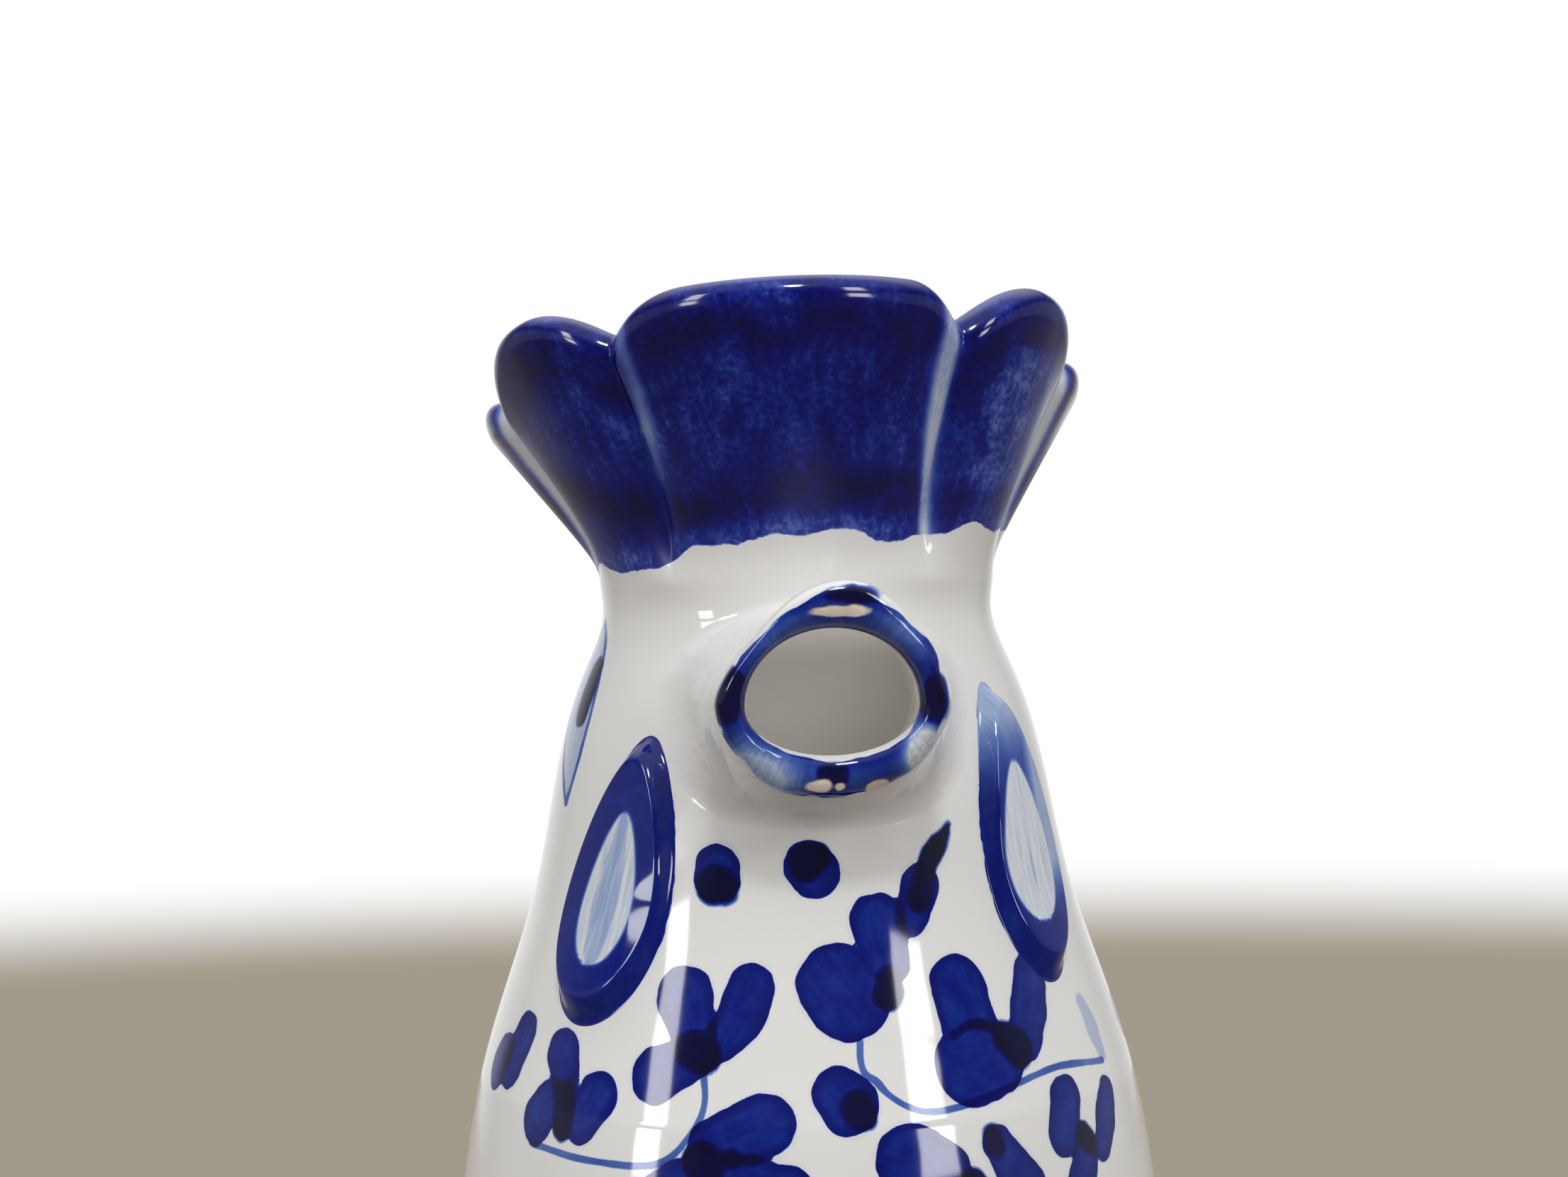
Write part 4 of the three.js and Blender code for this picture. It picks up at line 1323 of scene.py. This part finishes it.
# Light: two tall windows in front, a lamp, and a room that is bright behind the jug and dim before it.
# Each window has its angle and width, and the angle at which its high pane starts
WINDOWS = (("window_left", -58.9, 9.0, 18.5), ("window_right", 38.7, 13.0, 24.0))
WINDOW_DISTANCE = 1200.0
WINDOW_LOW_PANE = (4.5, 14.3)
WINDOW_TOP = 36.0
WINDOW_RADIANCE = 12.5
WINDOW_VIEW_HEIGHT = 80.0
LAMP_ELEVATION = 46.5
LAMP_DISTANCE = 600.0
LAMP_RADIUS = 45.0
LAMP_RADIANCE = 48.0
ROOM_FRONT = (0.11, 0.11, 0.113, 1.0)
ROOM_BACK = (1.0, 1.0, 1.0, 1.0)
CEILING = (0.88, 0.88, 0.88, 1.0)
ROOM_SIDE = (0.42, 0.42, 0.42, 1.0)
ROOM_TOP_BACK = (1.7, 1.7, 1.7, 1.0)
WHITE_BACKGROUND = (1.0, 1.0, 1.0, 1.0)
TABLE_COLOUR = (0.36, 0.32, 0.255, 1.0)
TABLE_FRONT = (0.17, 0.14, 0.105, 1.0)
# Where the room's parts start and end, by how far a direction points back, aside or up
BACK_STEP = (0.65, 1.0)
SIDE_STEP = (0.6, 0.9)
SIDE_RISE_STEP = (0.4, 0.2)
CEILING_STEP = (0.40, 0.85)
CEILING_BACK_STEP = (-0.1, 0.35)
TABLE_BACK_STEP = (0.1, 0.6)
TABLE_EDGE = (-0.145, -0.105)
FLOOR_COLOUR = (0.37, 0.325, 0.26, 1.0)
FLOOR_MIDDLE = 50.0
FLOOR_RADIUS = 165.0
FLOOR_FADE = (90.0, 160.05)
FLOOR_OPENING = 26.0
FLOOR_SINK = 0.2


def ahead(angle):
    return Vector((math.sin(angle), -math.cos(angle), 0))


def add_camera():
    azimuth, yaw, roll = (math.radians(a) for a in (CAMERA_AZIMUTH, CAMERA_YAW, CAMERA_ROLL))
    data = bpy.data.cameras.new("camera")
    data.sensor_fit = "HORIZONTAL"
    data.sensor_width = SENSOR_WIDTH
    data.lens = CAMERA_LENS
    data.clip_start = 0.01
    camera = add_object("camera", data)
    place = ahead(azimuth) * CAMERA_DISTANCE + Vector((0, 0, CAMERA_HEIGHT))
    level = Matrix.Rotation(azimuth + yaw, 4, "Z") @ Matrix.Rotation(math.pi / 2, 4, "X")
    camera.matrix_world = Matrix.Translation(place * MM) @ level @ Matrix.Rotation(-roll, 4, "Z")
    bpy.context.scene.camera = camera


def add_light(name, shape, size, area, radiance, offset, height):
    """An area light at an offset from the jug's axis at a height, and turned along the offset to it."""
    data = bpy.data.lights.new(name, "AREA")
    data.shape = shape
    data.size, data.size_y = (length * MM for length in size)
    data.energy = radiance * math.pi * area * MM**2
    light = add_object(name, data)
    light.location = (offset + Vector((0, 0, height))) * MM
    light.rotation_euler = (offset * -1).to_track_quat("-Z", "Y").to_euler()


def add_pane(name, angle, width_angle, sill_angle, top_angle):
    sill, top = (WINDOW_DISTANCE * math.tan(math.radians(a)) for a in (sill_angle, top_angle))
    width = 2 * WINDOW_DISTANCE * math.tan(math.radians(width_angle / 2))
    offset = ahead(math.radians(angle)) * WINDOW_DISTANCE
    area = width * (top - sill)
    height = WINDOW_VIEW_HEIGHT + (sill + top) / 2
    add_light(name, "RECTANGLE", (width, top - sill), area, WINDOW_RADIANCE, offset, height)


def add_lamp():
    """A round lamp over the viewer's head."""
    rise = math.radians(LAMP_ELEVATION)
    offset = Vector((0, -math.cos(rise), math.sin(rise))) * LAMP_DISTANCE
    size, area = (2 * LAMP_RADIUS, 2 * LAMP_RADIUS), math.pi * LAMP_RADIUS**2
    add_light("lamp_above", "DISK", size, area, LAMP_RADIANCE, offset, CAMERA_HEIGHT)


def add_world():
    """The room that the glaze mirrors, by the direction looked in, and the backdrop that the camera sees."""
    world = bpy.data.worlds.new("room")
    bpy.context.scene.world = world
    nodes = Nodes(world)
    span, blend = nodes.span, nodes.blend_colours
    x, y, z = nodes.parts(nodes.value("ShaderNodeTexCoord", "Generated"))
    room = blend(span(y, *BACK_STEP), ROOM_FRONT, ROOM_BACK)
    aside, tilt = nodes.math("ABSOLUTE", x), nodes.math("ABSOLUTE", z)
    room = blend(span(aside, *SIDE_STEP) * span(tilt, *SIDE_RISE_STEP), room, ROOM_SIDE)
    top = blend(span(y, *CEILING_BACK_STEP), CEILING, ROOM_TOP_BACK)
    room = blend(span(z, *CEILING_STEP), room, top)
    table = blend(span(y, *TABLE_BACK_STEP), TABLE_FRONT, TABLE_COLOUR)
    room = blend(span(z, *TABLE_EDGE), table, room)
    backdrop = blend(span(z, *TABLE_EDGE), TABLE_COLOUR, WHITE_BACKGROUND)
    room = blend(nodes.value("ShaderNodeLightPath", "Is Camera Ray"), room, backdrop)
    background = nodes.value("ShaderNodeBackground", 0, {"Color": room})
    nodes.node("ShaderNodeOutputWorld", {"Surface": background})


def add_floor():
    """The pale table top, which takes the jug's shadow and fades into the backdrop.

    It is clear from below and open under the jug's foot, so that the base can be looked at.
    """
    mesh = bpy.data.meshes.new("floor")
    turn = turns(FLOOR_SIDES)
    points = []
    for radius, middle in ((FLOOR_OPENING, -FLOOR_MIDDLE), (FLOOR_RADIUS, 0.0)):
        points += (vectors(radius * np.cos(turn), middle + radius * np.sin(turn), 0.0) * MM).tolist()
    pairs = [(i, (i + 1) % FLOOR_SIDES) for i in range(FLOOR_SIDES)]
    mesh.from_pydata(points, [], [(i, FLOOR_SIDES + i, FLOOR_SIDES + after, after) for i, after in pairs])
    floor = add_object("floor", mesh)
    floor.location = (0, FLOOR_MIDDLE * MM, -FLOOR_SINK * MM)
    shader = Shader("pale_floor")
    fade = shader.span(shader.length(shader.place), *FLOOR_FADE)
    from_below = shader.value("ShaderNodeNewGeometry", "Backfacing")
    matt = shader.value("ShaderNodeBsdfDiffuse", 0, {"Color": FLOOR_COLOUR})
    clear = shader.value("ShaderNodeBsdfTransparent", 0)
    inputs = {0: shader.math("MAXIMUM", fade, from_below), 1: matt, 2: clear}
    mesh.materials.append(shader.finish(shader.value("ShaderNodeMixShader", 0, inputs)))


bpy.context.scene.view_settings.view_transform = "Standard"
add_camera()
add_world()
add_floor()
add_lamp()
for window, azimuth, width, transom in WINDOWS:
    add_pane(f"{window}_low", azimuth, width, *WINDOW_LOW_PANE)
    add_pane(f"{window}_high", azimuth, width, transom, WINDOW_TOP)

pot_layers = ("second", "line", "wash", "clay")
make_pot(painted_glaze("painted_pot_glaze", POT_DEPTH, layers=pot_layers, form=turned_ring))
make_comb(comb_glaze())
beak_layers = ("second", "clay")
make_beak(
    painted_glaze("painted_beak_glaze", BEAK_DEPTH, BEAK_THIN_DEPTH, beak_layers, BEAK_MOTTLE, dimples)
)
wattle_glaze = painted_glaze("painted_wattle_glaze", WATTLE_DEPTH, WATTLE_THIN_DEPTH, ("wash",))
make_wattle("glazed_wattle_left", "wattle_left", WATTLE_LEFT, LEFT_PANE, wattle_glaze)
make_wattle("glazed_wattle_right", "wattle_right", WATTLE_RIGHT, RIGHT_PANE, wattle_glaze)
make_handle(plain_glaze())
